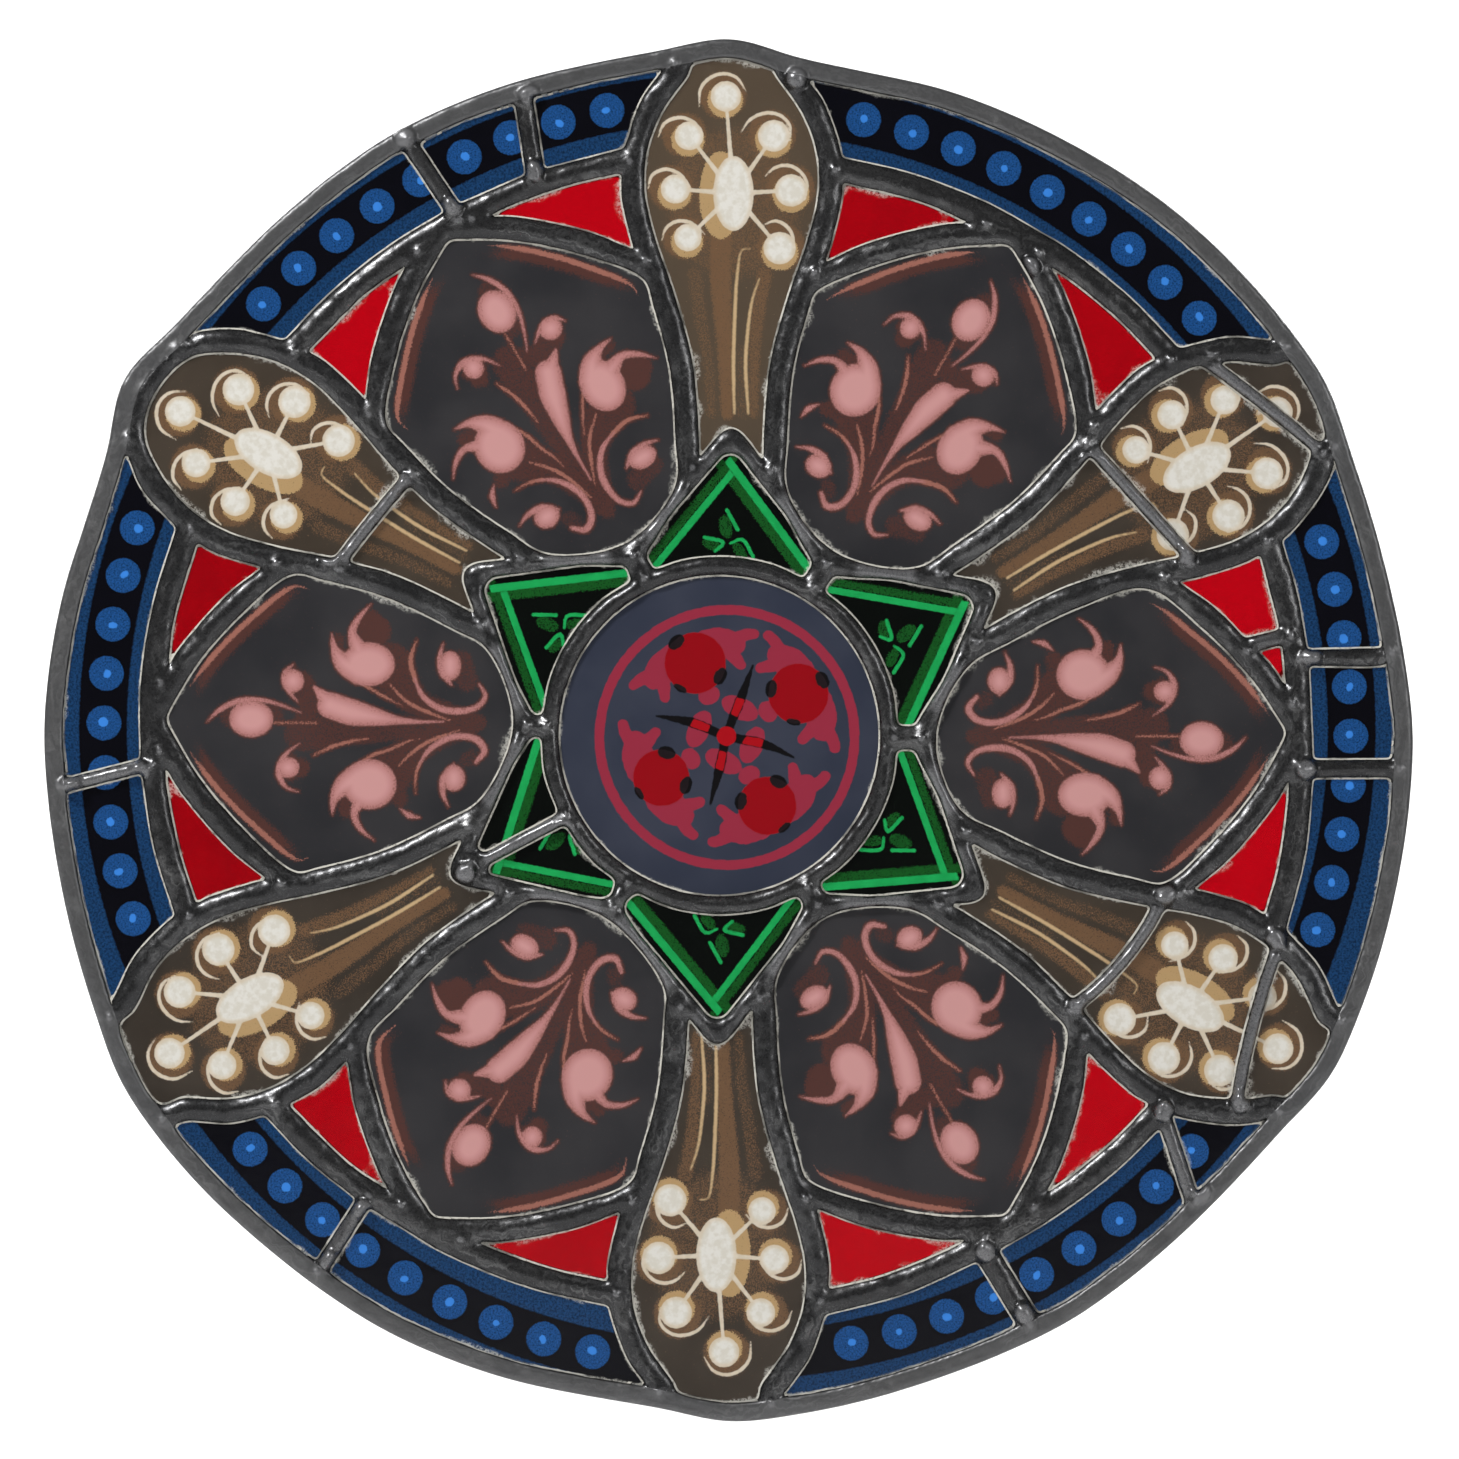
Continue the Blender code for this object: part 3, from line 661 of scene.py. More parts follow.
def lead_sheet(region, spacing):
    """A flat mesh of the lead in a region, its height, and the values that its material reads."""
    low = RIM_OUTLINE.min(axis=0) - RIM_MARGIN
    high = RIM_OUTLINE.max(axis=0) + RIM_MARGIN
    points, triangles = flat_region(region, low, high, spacing)
    height, edge, solder = lead_height(points)
    return points, triangles, height, {"edge": edge, "solder": solder}


def make_lead():
    """The cames' front and back, and the rim came, which goes round the panel's edge in one piece."""
    dark = lead_material("dark_lead", srgb(66, 66, 67), srgb(135, 135, 135), 0.28, 0.85)
    pale = lead_material("rim_lead", srgb(96, 96, 97), srgb(130, 130, 130), 0.38, 0.6)
    points, triangles, height, values = lead_sheet(in_matrix, LEAD_SPACING)
    front = place(points, GLASS_FRONT + height)
    make_piece("lead_cames", front, triangles.tolist(), [dark], values, "lead_matrix")
    points, triangles, height, values = lead_sheet(in_matrix, LEAD_BACK_SPACING)
    back = place(points, GLASS_BACK - CAME_BACK_SHARE * height)
    make_piece("lead_cames_back", back, triangles[:, ::-1].tolist(), [dark], values)
    points, triangles, height, values = lead_sheet(in_rim, LEAD_SPACING)
    front = place(points, GLASS_FRONT + height)
    back = place(points, GLASS_BACK - RIM_BACK_SHARE * height)
    count = len(points)
    walls = [[b, a, a + count, b + count] for a, b in edge_steps(triangles)]
    faces = triangles.tolist() + (triangles[:, ::-1] + count).tolist() + walls
    values = {key: np.tile(value, 2) for key, value in values.items()}
    make_piece("rim_came_lead", np.concatenate([front, back]), faces, [pale], values, "rim_came")


# Brush strokes and shapes of the painting

STROKE_SPACING = 1.5
FAR = 50.0


def ellipse(points, centre, radii, tilt=0.0):
    """About the distance outside an ellipse, turned anticlockwise by tilt degrees."""
    offset = (points - centre) @ np.stack([ray(tilt), ray(tilt + 90)], axis=1)
    near = lengths(offset / radii)
    steep = lengths(offset / np.square(radii))
    return near * (near - 1) / np.maximum(steep, 1e-6)


def stroke(points, route, widths):
    """Distance outside a brush stroke along a smooth route, its widths spread evenly along it."""
    line = np.array(route, dtype=float)
    if len(line) > 2:
        line = spline(line, False, STROKE_SPACING)
    half = np.interp(np.linspace(0, 1, len(line)), np.linspace(0, 1, len(widths)), widths) / 2
    result = np.full(len(points), REACH)
    low, high = line.min(axis=0) - REACH, line.max(axis=0) + REACH
    near = np.all((points > low) & (points < high), axis=1)
    some = points[near]
    best = np.full(len(some), REACH)
    for a, b, start, end in zip(line, line[1:], half, half[1:]):
        along = b - a
        share = unit((some - a) @ along / max(along @ along, 1e-9))
        gap = lengths(some - a - share[:, None] * along)
        best = np.minimum(best, gap - start - share * (end - start))
    result[near] = best
    return result


def joined(*shapes):
    """Distance outside several shapes taken as one."""
    return np.minimum.reduce(shapes)


def strokes(points, rows):
    """Distance outside several brush strokes, each given by its route and widths."""
    return joined(*[stroke(points, route, widths) for route, widths in rows])


def soft(distance, reach):
    """A shade of 1 inside a shape that fades to 0 at this reach outside it."""
    return eased(unit(1 - distance / reach))


def shades(points, rows, reach):
    """The shade of several soft strokes, each given by its route, widths and strength."""
    return np.maximum.reduce([row[2] * soft(stroke(points, *row[:2]), reach) for row in rows])


def local(points, angle, shift=(0, 0)):
    """The points seen along the ray at angle: across it to the right, and out along it."""
    return points @ np.stack([ray(angle - 90), ray(angle)], axis=1) - shift


# Petals: a bead is its place, its radius and the hook round it; bands of shade end with their strength
PETAL_SHIFTS = {
    "12": (0, 0), "02": (0.9, 0), "04": (1.9, 0.5), "06": (3.0, -3.5), "08": (1.1, 4.5), "10": (1.5, 0.5),
}
PETAL_TONES = {"12": 1.0, "02": 0.1, "04": 0.2, "06": 0.15, "08": 0.05, "10": 0.3}
OVAL = ((1.3, 176.5), (6.6, 12.3))
OVAL_TAN = ((-2.9, 176.0), (6.6, 14.0))
OVAL_BROWN = ((1.3, 173.5), (19, 21))
STEM_START = 0.3
STEM_WIDTHS = (1.6, 0.9)
HOOK_WIDTHS = (0.3, 1.0, 1.2, 1.1, 1.0, 0.3)
BEADS = (
    ((-1.2, 208.5), 5.0, [(-10, 205), (-9.5, 211), (-6.5, 214.5), (-2, 216), (2.5, 214.5), (5.5, 210)]),
    ((-13.3, 195.5), 4.7, [(-23.5, 195), (-21.5, 199.5), (-17, 201.5), (-12.5, 200.5), (-9, 197.5)]),
    ((14.6, 195.5), 5.2, [(3.6, 196.5), (7, 201), (12, 203), (16.5, 202.3), (19.8, 199), (20, 194)]),
    ((-17.8, 178.0), 4.8, [(-26.8, 178), (-25.5, 182.5), (-21, 184.5), (-16.5, 183), (-13, 179)]),
    ((20.3, 177.5), 5.3, [(11.5, 182), (15, 185), (19, 185.8), (23, 184), (25.5, 180), (25, 174.5)]),
    ((-13.7, 162.0), 4.5, [(-22.3, 161), (-21, 165), (-17.5, 167.3), (-13, 167), (-8, 163)]),
    ((16.5, 158.5), 5.3, [(11, 166), (15, 167.5), (18.5, 166), (20.8, 162.5), (20.5, 158.5), (18, 155.5)]),
)
NECK_LINES = (
    ([(6.8, 158.3), (4.2, 158), (2.6, 150), (1.7, 135), (1.3, 120), (1.6, 104)],
     (0.3, 0.9, 1.1, 1.1, 1.1, 0.7)),
    ([(9.8, 148.5), (7.4, 141), (5.9, 130), (5.3, 120), (6.2, 104)], (0.4, 0.9, 1.1, 1.1, 0.7)),
)
NECK_BANDS = (
    ([(-2.5, 172), (-3, 150), (-1.5, 125), (-0.8, 104)], (6, 5, 3, 2), 0.85),
    ([(-11.5, 150), (-9.5, 135), (-7, 120), (-6, 104)], (3, 2.5, 2, 1.5), 0.5),
    ([(11.5, 150), (9.5, 138), (8.3, 122), (8, 104)], (3.5, 2.5, 1.5, 1), 0.65),
    ([(4.5, 125), (4.2, 104)], (2, 2), 0.4),
)


def paint_petal(points, hour, pane):
    """Cream beads on stems round an oval, each in a hooked cup, over tan shading, and lines down the neck."""
    p = local(points, HOURS[hour], PETAL_SHIFTS[hour])
    middle = np.array(OVAL[0])
    light = ellipse(p, *OVAL)
    tan = soft(ellipse(p, *OVAL_TAN), 1.0)
    brown = 0.55 * soft(ellipse(p, *OVAL_BROWN), 9.0)
    for bead, size, hook in BEADS:
        bead = np.array(bead)
        stem = stroke(p, [middle + STEM_START * (bead - middle), bead], STEM_WIDTHS)
        light = joined(light, ellipse(p, bead, size), stem, stroke(p, hook, HOOK_WIDTHS))
        cup = np.mean(hook, axis=0) * 0.45 + bead * 0.55 - (0, 1.2)
        glow = bead + (cup - bead) * 0.25 - (0, 1.4)
        tan = np.maximum(tan, soft(ellipse(p, glow, size + 0.2), 1.3))
        brown = np.maximum(brown, 0.8 * soft(ellipse(p, cup, size + 1.8), 2.4))
    brown = np.maximum(brown, shades(p, NECK_BANDS, 2.5))
    tone = np.full(len(points), PETAL_TONES[hour])
    return {"light": light, "shade": tan, "deep": brown, "faint": strokes(p, NECK_LINES), "tone": tone}


FOLIAGE_SHIFTS = {
    "01": (-1, -1), "03": (1, -2), "05": (0, -1.7), "07": (2.7, 3.5), "09": (1, 0), "11": (0, 0),
}
FOLIAGE = (
    # The bud at the top, and the two small ones
    ([(1.5, 172), (5, 168.5), (8.3, 162), (8.8, 155), (7, 147.5), (4.5, 141)],
     (0.2, 1.6, 1.8, 1.3, 0.9, 0.3)),
    ([(-21.5, 142), (-20, 146), (-16, 148.3), (-12.5, 147.8), (-9, 146), (-5.5, 141.5)],
     (0.3, 1, 2.2, 2.4, 1, 0.3)),
    ([(20.5, 143.5), (18, 146.3), (14.5, 146.6), (11.5, 145), (8, 142)], (0.3, 1.4, 1.8, 1.2, 0.3)),
    # The leaf up the middle, on its stalk
    ([(1.6, 94), (1.6, 104), (2.2, 111), (3.4, 118), (4.8, 125), (7, 131.5)], (0.5, 1, 2.6, 6, 8.6, 8.5)),
    ([(7, 131), (13, 136.8)], (7, 1)),
    # The left flower's horns and the lines below it
    ([(-29, 130.8), (-24, 130.2), (-19.5, 127), (-17, 122)], (0.3, 2.6, 6.5, 10)),
    ([(-37.5, 117), (-34, 121.3), (-29, 123.6), (-23, 121)], (0.2, 1.6, 2.4, 5)),
    ([(-30, 102), (-29.3, 105.5), (-27, 108.5)], (0.4, 1.9, 0.3)),
    # The right flower's horns
    ([(30.5, 131), (25.5, 130), (21, 127), (18.8, 122)], (0.3, 2.4, 6.5, 10)),
    ([(40.3, 118), (36, 121.8), (31, 124.2), (25, 122)], (0.2, 1.8, 2.8, 6)),
    # The scrolls at the foot
    ([(-14, 102.8), (-9, 100), (-5, 95), (-3.2, 89), (-4.5, 83), (-8, 80.7), (-11.8, 83.5)],
     (0.3, 1.5, 2, 2, 2.1, 2.2, 1.2)),
    ([(16, 103.8), (10, 101), (6, 95.5), (5, 89), (6.5, 83), (10, 80.4), (14, 82.5)],
     (0.6, 1.7, 2, 2.3, 1.8, 1.5, 0.5)),
    ([(-26.5, 92.6), (-22, 94.4), (-17, 94), (-12.3, 90.8)], (0.2, 1.6, 2.6, 0.6)),
    ([(27.2, 94.3), (23, 95.4), (18, 94.6), (13.6, 91.5)], (0.4, 1.6, 2.6, 0.5)),
)
FOLIAGE_BULBS = (
    ((2.5, 157.5), (6.0, 7.2)), ((-13.5, 145.3), (3.4, 3.6)), ((15, 143.8), (3.8, 3.7)),
    ((-19, 118.5), (8.2, 8.8)), ((20.5, 119), (7.2, 8.8)), ((-17, 90.8), (4.3, 3.7)), ((20, 92), (4.8, 3.6)),
)
FOLIAGE_STALKS = (
    ([(-9.5, 137), (-6.5, 130.5), (-5, 125), (-4, 119)], (0.5, 1.3, 1.1, 0.4)),
    ([(-11.5, 121), (-9.3, 117), (-7.3, 111), (-5, 106), (-4, 102)], (0.8, 1.2, 1.1, 0.9, 0.3)),
    ([(-13, 109), (-9, 105), (-5, 99), (-1.2, 89)], (0.6, 1.3, 1.3, 0.5)),
    ([(-22, 103.4), (-16, 103.3), (-12, 102)], (0.3, 0.9, 1.2)),
    ([(13.5, 120), (10, 114), (6.8, 107.5)], (0.8, 1, 0.3)),
    ([(14, 112), (8, 106), (4, 97.5), (2, 92)], (0.6, 1.2, 1.2, 0.5)),
    ([(28.5, 103), (22, 105), (15, 103.5)], (0.4, 1.6, 1.6)),
    ([(1.2, 150), (1.2, 136)], (0.7, 0.7)),
)
FOLIAGE_HAZE = (
    ([(1, 82), (-7, 103), (-16, 112)], (2, 7, 12), 0.75),
    ([(1.5, 82), (9, 104), (20, 112)], (2, 6, 13), 0.75),
    ([(1, 90), (-1, 120), (-2.5, 141)], (3, 7, 9), 0.7),
    ([(2, 141), (7, 138), (14, 141)], (3, 6, 6), 0.75),
    ([(4, 150), (4, 164)], (4, 6), 0.7),
    ([(-13.5, 141.5), (-13.5, 144)], (4, 7), 0.85),
    ([(15, 140.5), (15, 143)], (4, 7), 0.85),
    ([(31.5, 117), (33.5, 118.5)], (8.5, 7), 0.95),
    ([(-28, 126.5), (-25, 125.5)], (2, 4), 0.8),
    ([(23, 128.6), (29, 129)], (2, 1.4), 0.8),
    ([(-24, 108.5), (-20, 111)], (3, 5), 0.75),
    ([(15, 86.5), (22, 88)], (5, 4), 0.65),
    ([(-11, 86.5), (-9.5, 85)], (3, 2), 0.6),
)
ARCH_INSET = 4.6
ARCH_TAPER = 0.06
ARCH_START = 138
ARCH_END = 178


def paint_foliage(points, hour, pane):
    """A spray of buds and flowers in pink, on stippled stalks, with a pink band along both upper edges."""
    p = local(points, HOURS[hour], FOLIAGE_SHIFTS[hour])
    light = joined(strokes(p, FOLIAGE), *[ellipse(p, centre, radii) for centre, radii in FOLIAGE_BULBS])
    stalks = strokes(p, FOLIAGE_STALKS)
    haze = np.maximum(0.9 * soft(np.minimum(light, stalks), 1.6), shades(p, FOLIAGE_HAZE, 3.0))
    out = local(points, HOURS[hour])[:, 1]
    band = -distance_outside(points, pane.outline) - (ARCH_INSET - ARCH_TAPER * (out - ARCH_START - 2))
    along = unit((out - ARCH_START) / 10) * unit((ARCH_END - out) / 6)
    haze = np.maximum(haze, 0.95 * along * soft(np.maximum(0.5 * band, -band) - 0.8, 2.0))
    stalks = np.minimum(stalks, np.abs(band + 0.4) - 0.9 * along + 2.5 * (along == 0))
    return {"light": light, "shade": haze, "deep": stalks}


DOT_RADII = {"01": 205.6, "03": 204.6, "05": 206.0, "07": 209.8, "09": 206.0, "11": 207.8}
DOT_STEP = 4.55
DOT_SHIFT = 0.6
DOT_COUNT = 9
DOT_SIZE = 5.7
CHANNEL_HALF_WIDTH = 7.5
CHANNEL_HALF_WIDTHS = {"01": 8.6}
CHANNEL_SHIFT = 0.3
CHANNEL_FADE = 0.8


def paint_border(points, hour, pane):
    """A row of blue dots with bright hearts, on near-black, between two stippled blue bands."""
    dots = np.full(len(points), FAR)
    hearts = np.full(len(points), FAR)
    random = np.random.default_rng(int(hour))
    for i in range(DOT_COUNT):
        centre = DOT_RADII[hour] * ray(HOURS[hour] - DOT_SHIFT + (i - (DOT_COUNT - 1) / 2) * DOT_STEP)
        dots = np.minimum(dots, ellipse(points, centre, DOT_SIZE))
        heart = centre + random.uniform(-0.5, 0.5, 2)
        size = random.uniform(1.0, 1.6, 2)
        hearts = np.minimum(hearts, ellipse(points, heart, size, random.uniform(0, 90)))
    across = np.abs(np.hypot(points[:, 0], points[:, 1]) - DOT_RADII[hour] - CHANNEL_SHIFT)
    bands = unit((across - CHANNEL_HALF_WIDTHS.get(hour, CHANNEL_HALF_WIDTH)) / CHANNEL_FADE)
    return {"light": dots, "shade": bands, "deep": hearts}


# Star points: the two bright strokes as distances in from the sides, and the sign as seen from the tip
STAR_LEFT_STROKE = (4.3, 1.1)
STAR_RIGHT_STROKE = (1.9, 1.25)
STAR_SIGN = (
    ([(-1.2, -18.5), (0.2, -21), (2.4, -25)], (1.2, 1.2, 1.2)),
    ([(-8.5, -27.5), (-2.3, -29.3), (-5, -32)], (1.2, 1.2, 1.0)),
    ([(0, -29.5), (3.8, -28.2), (7.5, -34)], (0.8, 1.2, 1.2)),
)
STAR_LEAVES = (((-1.6, -24), (1.9, 3.6), 10), ((-6.2, -30), (3, 1.4), -20), ((3, -32), (1.5, 3), 35))


def paint_star(points, hour, pane):
    """Bright green strokes inside the two sides of the point, stippling, and a small leaf sign on black."""
    halves = [other.outline for other in PANES if other.hour == hour and other.kind == "star"]
    around = np.concatenate([local(outline, HOURS[hour]) for outline in halves])
    tip = around[around[:, 1].argmax()]
    offset = local(points, HOURS[hour]) - tip

    def inside(corner, side):
        way = (corner - tip) / np.linalg.norm(corner - tip)
        return side * (offset[:, 0] * way[1] - offset[:, 1] * way[0])

    from_left = inside(around[around[:, 0].argmin()], -1)
    from_right = inside(around[around[:, 0].argmax()], 1)
    bright = np.maximum(np.abs(from_left - STAR_LEFT_STROKE[0]) - STAR_LEFT_STROKE[1], 3.4 - from_right)
    other_side = np.abs(from_right - STAR_RIGHT_STROKE[0]) - STAR_RIGHT_STROKE[1]
    bright = np.minimum(bright, np.maximum(other_side, 0.4 - from_left))
    shade = 0.75 * soft(np.abs(from_left - 1.6) - 1.0, 1.0)
    shade = np.maximum(shade, 0.8 * soft(np.abs(from_right - 4.6) - 1.2, 1.2))
    shade = np.maximum(shade, 0.7 * soft(joined(*[ellipse(offset, *leaf) for leaf in STAR_LEAVES]), 0.8))
    return {"light": np.minimum(bright, strokes(offset, STAR_SIGN)), "shade": shade}


# The disc: a red disc is its place, its radius and the angles of the black spots on its edge
ROSE_RING = ((-0.8, -2.6), 42.0, 1.6)
RED_DISCS = (
    ((-11.3, 21.9), 10.1, (132, -28, -120)), ((22.7, 11.8), 9.9, (30, 170, -100)),
    ((-22.5, -15.9), 9.3, (78, -17, -145)), ((12.4, -25.1), 9.6, (65, 170, -52)),
)
BLACK_SPOTS = ((3.0, 2.1), (3.0, 2.0), (2.4, 1.1))
ROSE_LEAVES = (
    ([(6, 3), (11, 2.4), (14.5, 0.6)], (12, 10.5, 7)),
    ([(14, 1.6), (19, 2.0), (21.5, 1.2)], (5.5, 4, 3.4)),
    ([(12, -1), (13.6, -6.5)], (5, 3.4)),
)
ROSE_BUD = ((0, -11.6), (3.6, 3.0))
ARMS = (((7.8, 21.3), (-6.4, -24.8)), ((-24.3, 4.5), (21.7, -9.4)))
ARM_WIDTHS = (0.6, 3.4, 2.8, 3.4, 0.6)
CORE = ((-1.0, -2.2), (3.2, 3.2))
ROSE_PETAL = (3.6, 6.4)
ROSE_PETAL_SHARES = (0.31, 0.69)
ROSE_PETAL_TILT = 8


def paint_disc(points, hour, pane):
    """A rose ring round four red discs in rose leaves, and a black and red cross over four rose petals."""
    middle, radius, half_width = ROSE_RING
    rose = np.abs(lengths(points - middle) - radius) - half_width
    red, black, arms, petals = (np.full(len(points), FAR) for _ in range(4))
    for centre, size, spots in RED_DISCS:
        offset = points - centre
        red = np.minimum(red, ellipse(offset, (0, 0), size))
        out = np.array(centre) - CORE[0]
        out /= np.linalg.norm(out)
        q = np.stack([offset @ (out[1], -out[0]), offset @ out], axis=1)
        rose = joined(rose, ellipse(q, *ROSE_BUD), *[strokes(q * (side, 1), ROSE_LEAVES) for side in (-1, 1)])
        for angle, (wide, deep) in zip(spots, BLACK_SPOTS):
            black = np.minimum(black, ellipse(offset, (size - 0.4 * deep) * ray(angle), (deep, wide), angle))
    for ends in ARMS:
        start, end = np.array(ends)
        route = [start, start * 0.5, CORE[0], end * 0.5, end]
        arms = np.minimum(arms, stroke(points, route, ARM_WIDTHS))
        tilt = math.degrees(math.atan2(end[1] - start[1], end[0] - start[0])) - ROSE_PETAL_TILT
        for share in ROSE_PETAL_SHARES:
            petals = np.minimum(petals, ellipse(points, start + share * (end - start), ROSE_PETAL, tilt))
    core = np.minimum(np.maximum(arms + 0.3, petals + 0.5), ellipse(points, *CORE))
    return {"light": np.minimum(rose, petals), "shade": red, "deep": np.minimum(black, arms), "core": core}


RED_TONES = {"01": 0.2, "03": 0.6, "05": 0.5, "07": 0.3, "09": 0.05, "11": 0.65}


def tone_red(points, hour, pane):
    """Glass with no painting, but cut from sheets of slightly different reds."""
    return {"tone": np.full(len(points), RED_TONES[hour])}


# Glass finishes

GLASS_IOR = 1.25
BACK_ROUGHNESS = 0.12
SMEARED_CEMENT = srgb(205, 203, 195)


def finish_glass(shader, clearness, roughness, ripple=0.12, grime=1):
    """Old glass: slightly wavy, with dirt and smeared cement along the leads."""
    reach = shader.ramp(shader.noise(15, 3, 0.6), 0.45, 0.75, 0.45 * grime, 4 * grime)
    near = shader.math("SUBTRACT", 1, shader.math("DIVIDE", "inside", reach))
    smear = shader.times(near, shader.ramp(shader.noise(0.9, 4, 0.75), 0.32, 0.62))
    line = shader.ramp(shader.plus("inside", shader.wobble(2.5, 2, 0.7)), 0.6, 0.35)
    line = shader.times(line, shader.ramp(shader.noise(10, 2), 0.42, 0.6, 0.15, 0.9))
    smear = shader.math("MAXIMUM", shader.ramp(smear, 0.05, 0.8, 0, 0.75), line)
    shader.lay(smear, SMEARED_CEMENT)
    shader.link("Base Color", shader.colour)
    shader.link("Transmission Weight", shader.mix(smear, clearness, 0))
    shader.link("Roughness", shader.mix(smear, roughness, 0.8))
    shader.link("IOR", GLASS_IOR)
    shader.bump(shader.plus(shader.noise(16, 2), shader.times(shader.noise(2.5, 2), 0.12)), ripple)
    return shader.material


def back_material(name, colour, transmission):
    """The back and edges of a pane, through which the painted front is seen from behind."""
    shader = Shader(name + "_back")
    colour = srgb(*colour)
    darker = tuple(0.8 * part for part in colour)
    shader.link("Base Color", shader.mix(shader.noise(12, 3), colour, darker))
    shader.link("IOR", GLASS_IOR)
    shader.link("Transmission Weight", transmission)
    shader.link("Roughness", BACK_ROUGHNESS)
    shader.bump(shader.noise(16, 2), 0.12)
    return shader.material


def petal_material():
    shader = Shader("beaded_glass_painted")
    light = shader.ragged("light", 0.2)
    tan = shader.stipple("shade")
    curds = shader.ramp(shader.noise(2, 2), 0.35, 0.65)
    cream = shader.mix(curds, srgb(210, 205, 193), srgb(222, 219, 211))
    hollow = shader.ramp("light", -2, -0.2, 0, 0.45)
    ground = shader.patches(shader.noise(22, 3), srgb(37, 32, 27), srgb(50, 44, 38))
    shader.colour = shader.mix("tone", ground, srgb(72, 60, 47))
    shader.lay(shader.times(shader.stipple("deep"), 0.75), srgb(112, 80, 53))
    shader.lay(shader.times(tan, 0.9), srgb(182, 150, 104))
    shader.lay(shader.ragged("faint", 0.2, sharp=0.35), srgb(196, 166, 122))
    shader.lay(light, shader.mix(hollow, cream, srgb(196, 170, 128)))
    painted = shader.math("MAXIMUM", light, shader.times(tan, 0.7))
    return finish_glass(shader, shader.mix(painted, 0.2, 0), shader.mix(painted, 0.16, 0.45))


def foliage_material():
    shader = Shader("foliage_glass_painted")
    light = shader.ramp(shader.plus("light", shader.wobble(0.4, 1, 1.5)), 0.35, -0.35)
    pinch = shader.stipple(shader.ramp("light", -2.6, 0, 0, 0.55))
    pink = shader.mix(shader.ramp("light", -0.3, -4), srgb(176, 121, 118), srgb(198, 146, 144))
    pink = shader.mix(shader.times(pinch, 0.7), pink, srgb(120, 72, 62))
    shader.colour = shader.patches(shader.noise(30, 3), srgb(41, 41, 44), srgb(53, 52, 54))
    shader.lay(shader.times(shader.stipple("shade"), 0.8), srgb(86, 50, 43))
    shader.lay(shader.stipple(shader.ramp("deep", 0.7, -0.7)), srgb(154, 101, 88))
    shader.lay(light, pink)
    return finish_glass(shader, shader.mix(light, 0, 0.1), shader.mix(light, 0.4, 0.5), 0.08)


def border_material():
    shader = Shader("border_glass_painted")
    band = shader.ragged(shader.math("SUBTRACT", 0.5, "shade"), 0.3, 1, 0.3)
    band = shader.times(band, shader.ramp(shader.noise(0.8, 3, 0.7), 0.34, 0.62, 0.25, 1))
    dot = shader.ragged("light", 0.35, 0.8)
    heart = shader.ragged("deep", 0.3, 0.9)
    worn = shader.ramp(shader.noise(0.6, 3, 0.7), 0.3, 0.65)
    shader.colour = shader.mix(shader.noise(20), srgb(5, 5, 10), srgb(10, 10, 18))
    shader.lay(band, srgb(25, 60, 98))
    shader.lay(dot, shader.mix(worn, srgb(11, 36, 68), srgb(27, 76, 130)))
    shader.lay(heart, srgb(60, 138, 220))
    clearness = shader.mix(heart, shader.mix(dot, shader.times(band, 0.2), 0.3), 0.6)
    return finish_glass(shader, clearness, shader.mix(dot, 0.14, 0.25), grime=0.5)


def star_material():
    shader = Shader("green_glass_painted")
    light = shader.ragged("light", 0.25)
    shader.colour = shader.mix(shader.noise(15), srgb(4, 6, 5), srgb(8, 12, 9))
    shader.lay(shader.stipple("shade"), srgb(22, 84, 32))
    shader.lay(light, shader.mix(shader.noise(6, 2), srgb(14, 128, 62), srgb(30, 165, 86)))
    return finish_glass(shader, shader.mix(light, 0, 0.4), 0.16, grime=0.6)


def red_material():
    shader = Shader("ruby_glass")
    drawn = shader.noise(14, 3, 0.6, (1, 1, 0.35))
    shader.colour = shader.patches(drawn, srgb(86, 0, 1), srgb(102, 0, 1))
    shader.lay("tone", srgb(156, 0, 4))
    return finish_glass(shader, 0.6, shader.patches(shader.noise(3, 3), 0.1, 0.2), grime=0.9)


def disc_material():
    shader = Shader("disc_glass_painted")
    red = shader.ragged("shade", 0.3, 2)
    shader.colour = shader.patches(shader.noise(26, 3), srgb(46, 51, 66), srgb(56, 60, 74))
    shader.lay(shader.ragged("light", 0.35, 2), srgb(146, 42, 62))
    shader.lay(red, srgb(138, 0, 3))
    shader.lay(shader.ragged("deep", 0.4, 1.6), srgb(8, 6, 8))
    shader.lay(shader.ragged("core", 0.3, 2), srgb(165, 6, 20))
    return finish_glass(shader, shader.mix(red, 0, 0.3), 0.4, 0.08, 0.5)


def make_pane(pane, spacing, slot, painter, materials):
    """The glass of one pane: a painted front, and a plain back and edge."""
    def shown(points):
        return GLASS_UNDER_LEAD - distance_outside(points, pane.outline)

    margin = GLASS_UNDER_LEAD + 1
    points, triangles = flat_region(shown, pane.low - margin, pane.high + margin, spacing)
    values = painter(points, pane.hour, pane)
    values["inside"] = -distance_outside(points, pane.outline)
    loops = chained(edge_steps(triangles))
    rim = [point for loop in loops for point in loop]
    back_of = {point: len(points) + i for i, point in enumerate(rim)}
    front = place(points, np.full(len(points), GLASS_FRONT))
    back = place(points[rim], np.full(len(rim), GLASS_BACK))
    walls = [[b, a, back_of[a], back_of[b]] for loop in loops for a, b in zip(loop, loop[1:] + loop[:1])]
    backs = [[back_of[point] for point in reversed(loop)] for loop in loops]
    values = {key: np.concatenate([value, value[rim]]) for key, value in values.items()}
    faces = triangles.tolist() + walls + backs
    which = [0] * len(triangles) + [1] * (len(walls) + len(backs))
    vertices = np.concatenate([front, back])
    make_piece(f"{pane.node}_glass", vertices, faces, materials, values, pane.node, which)


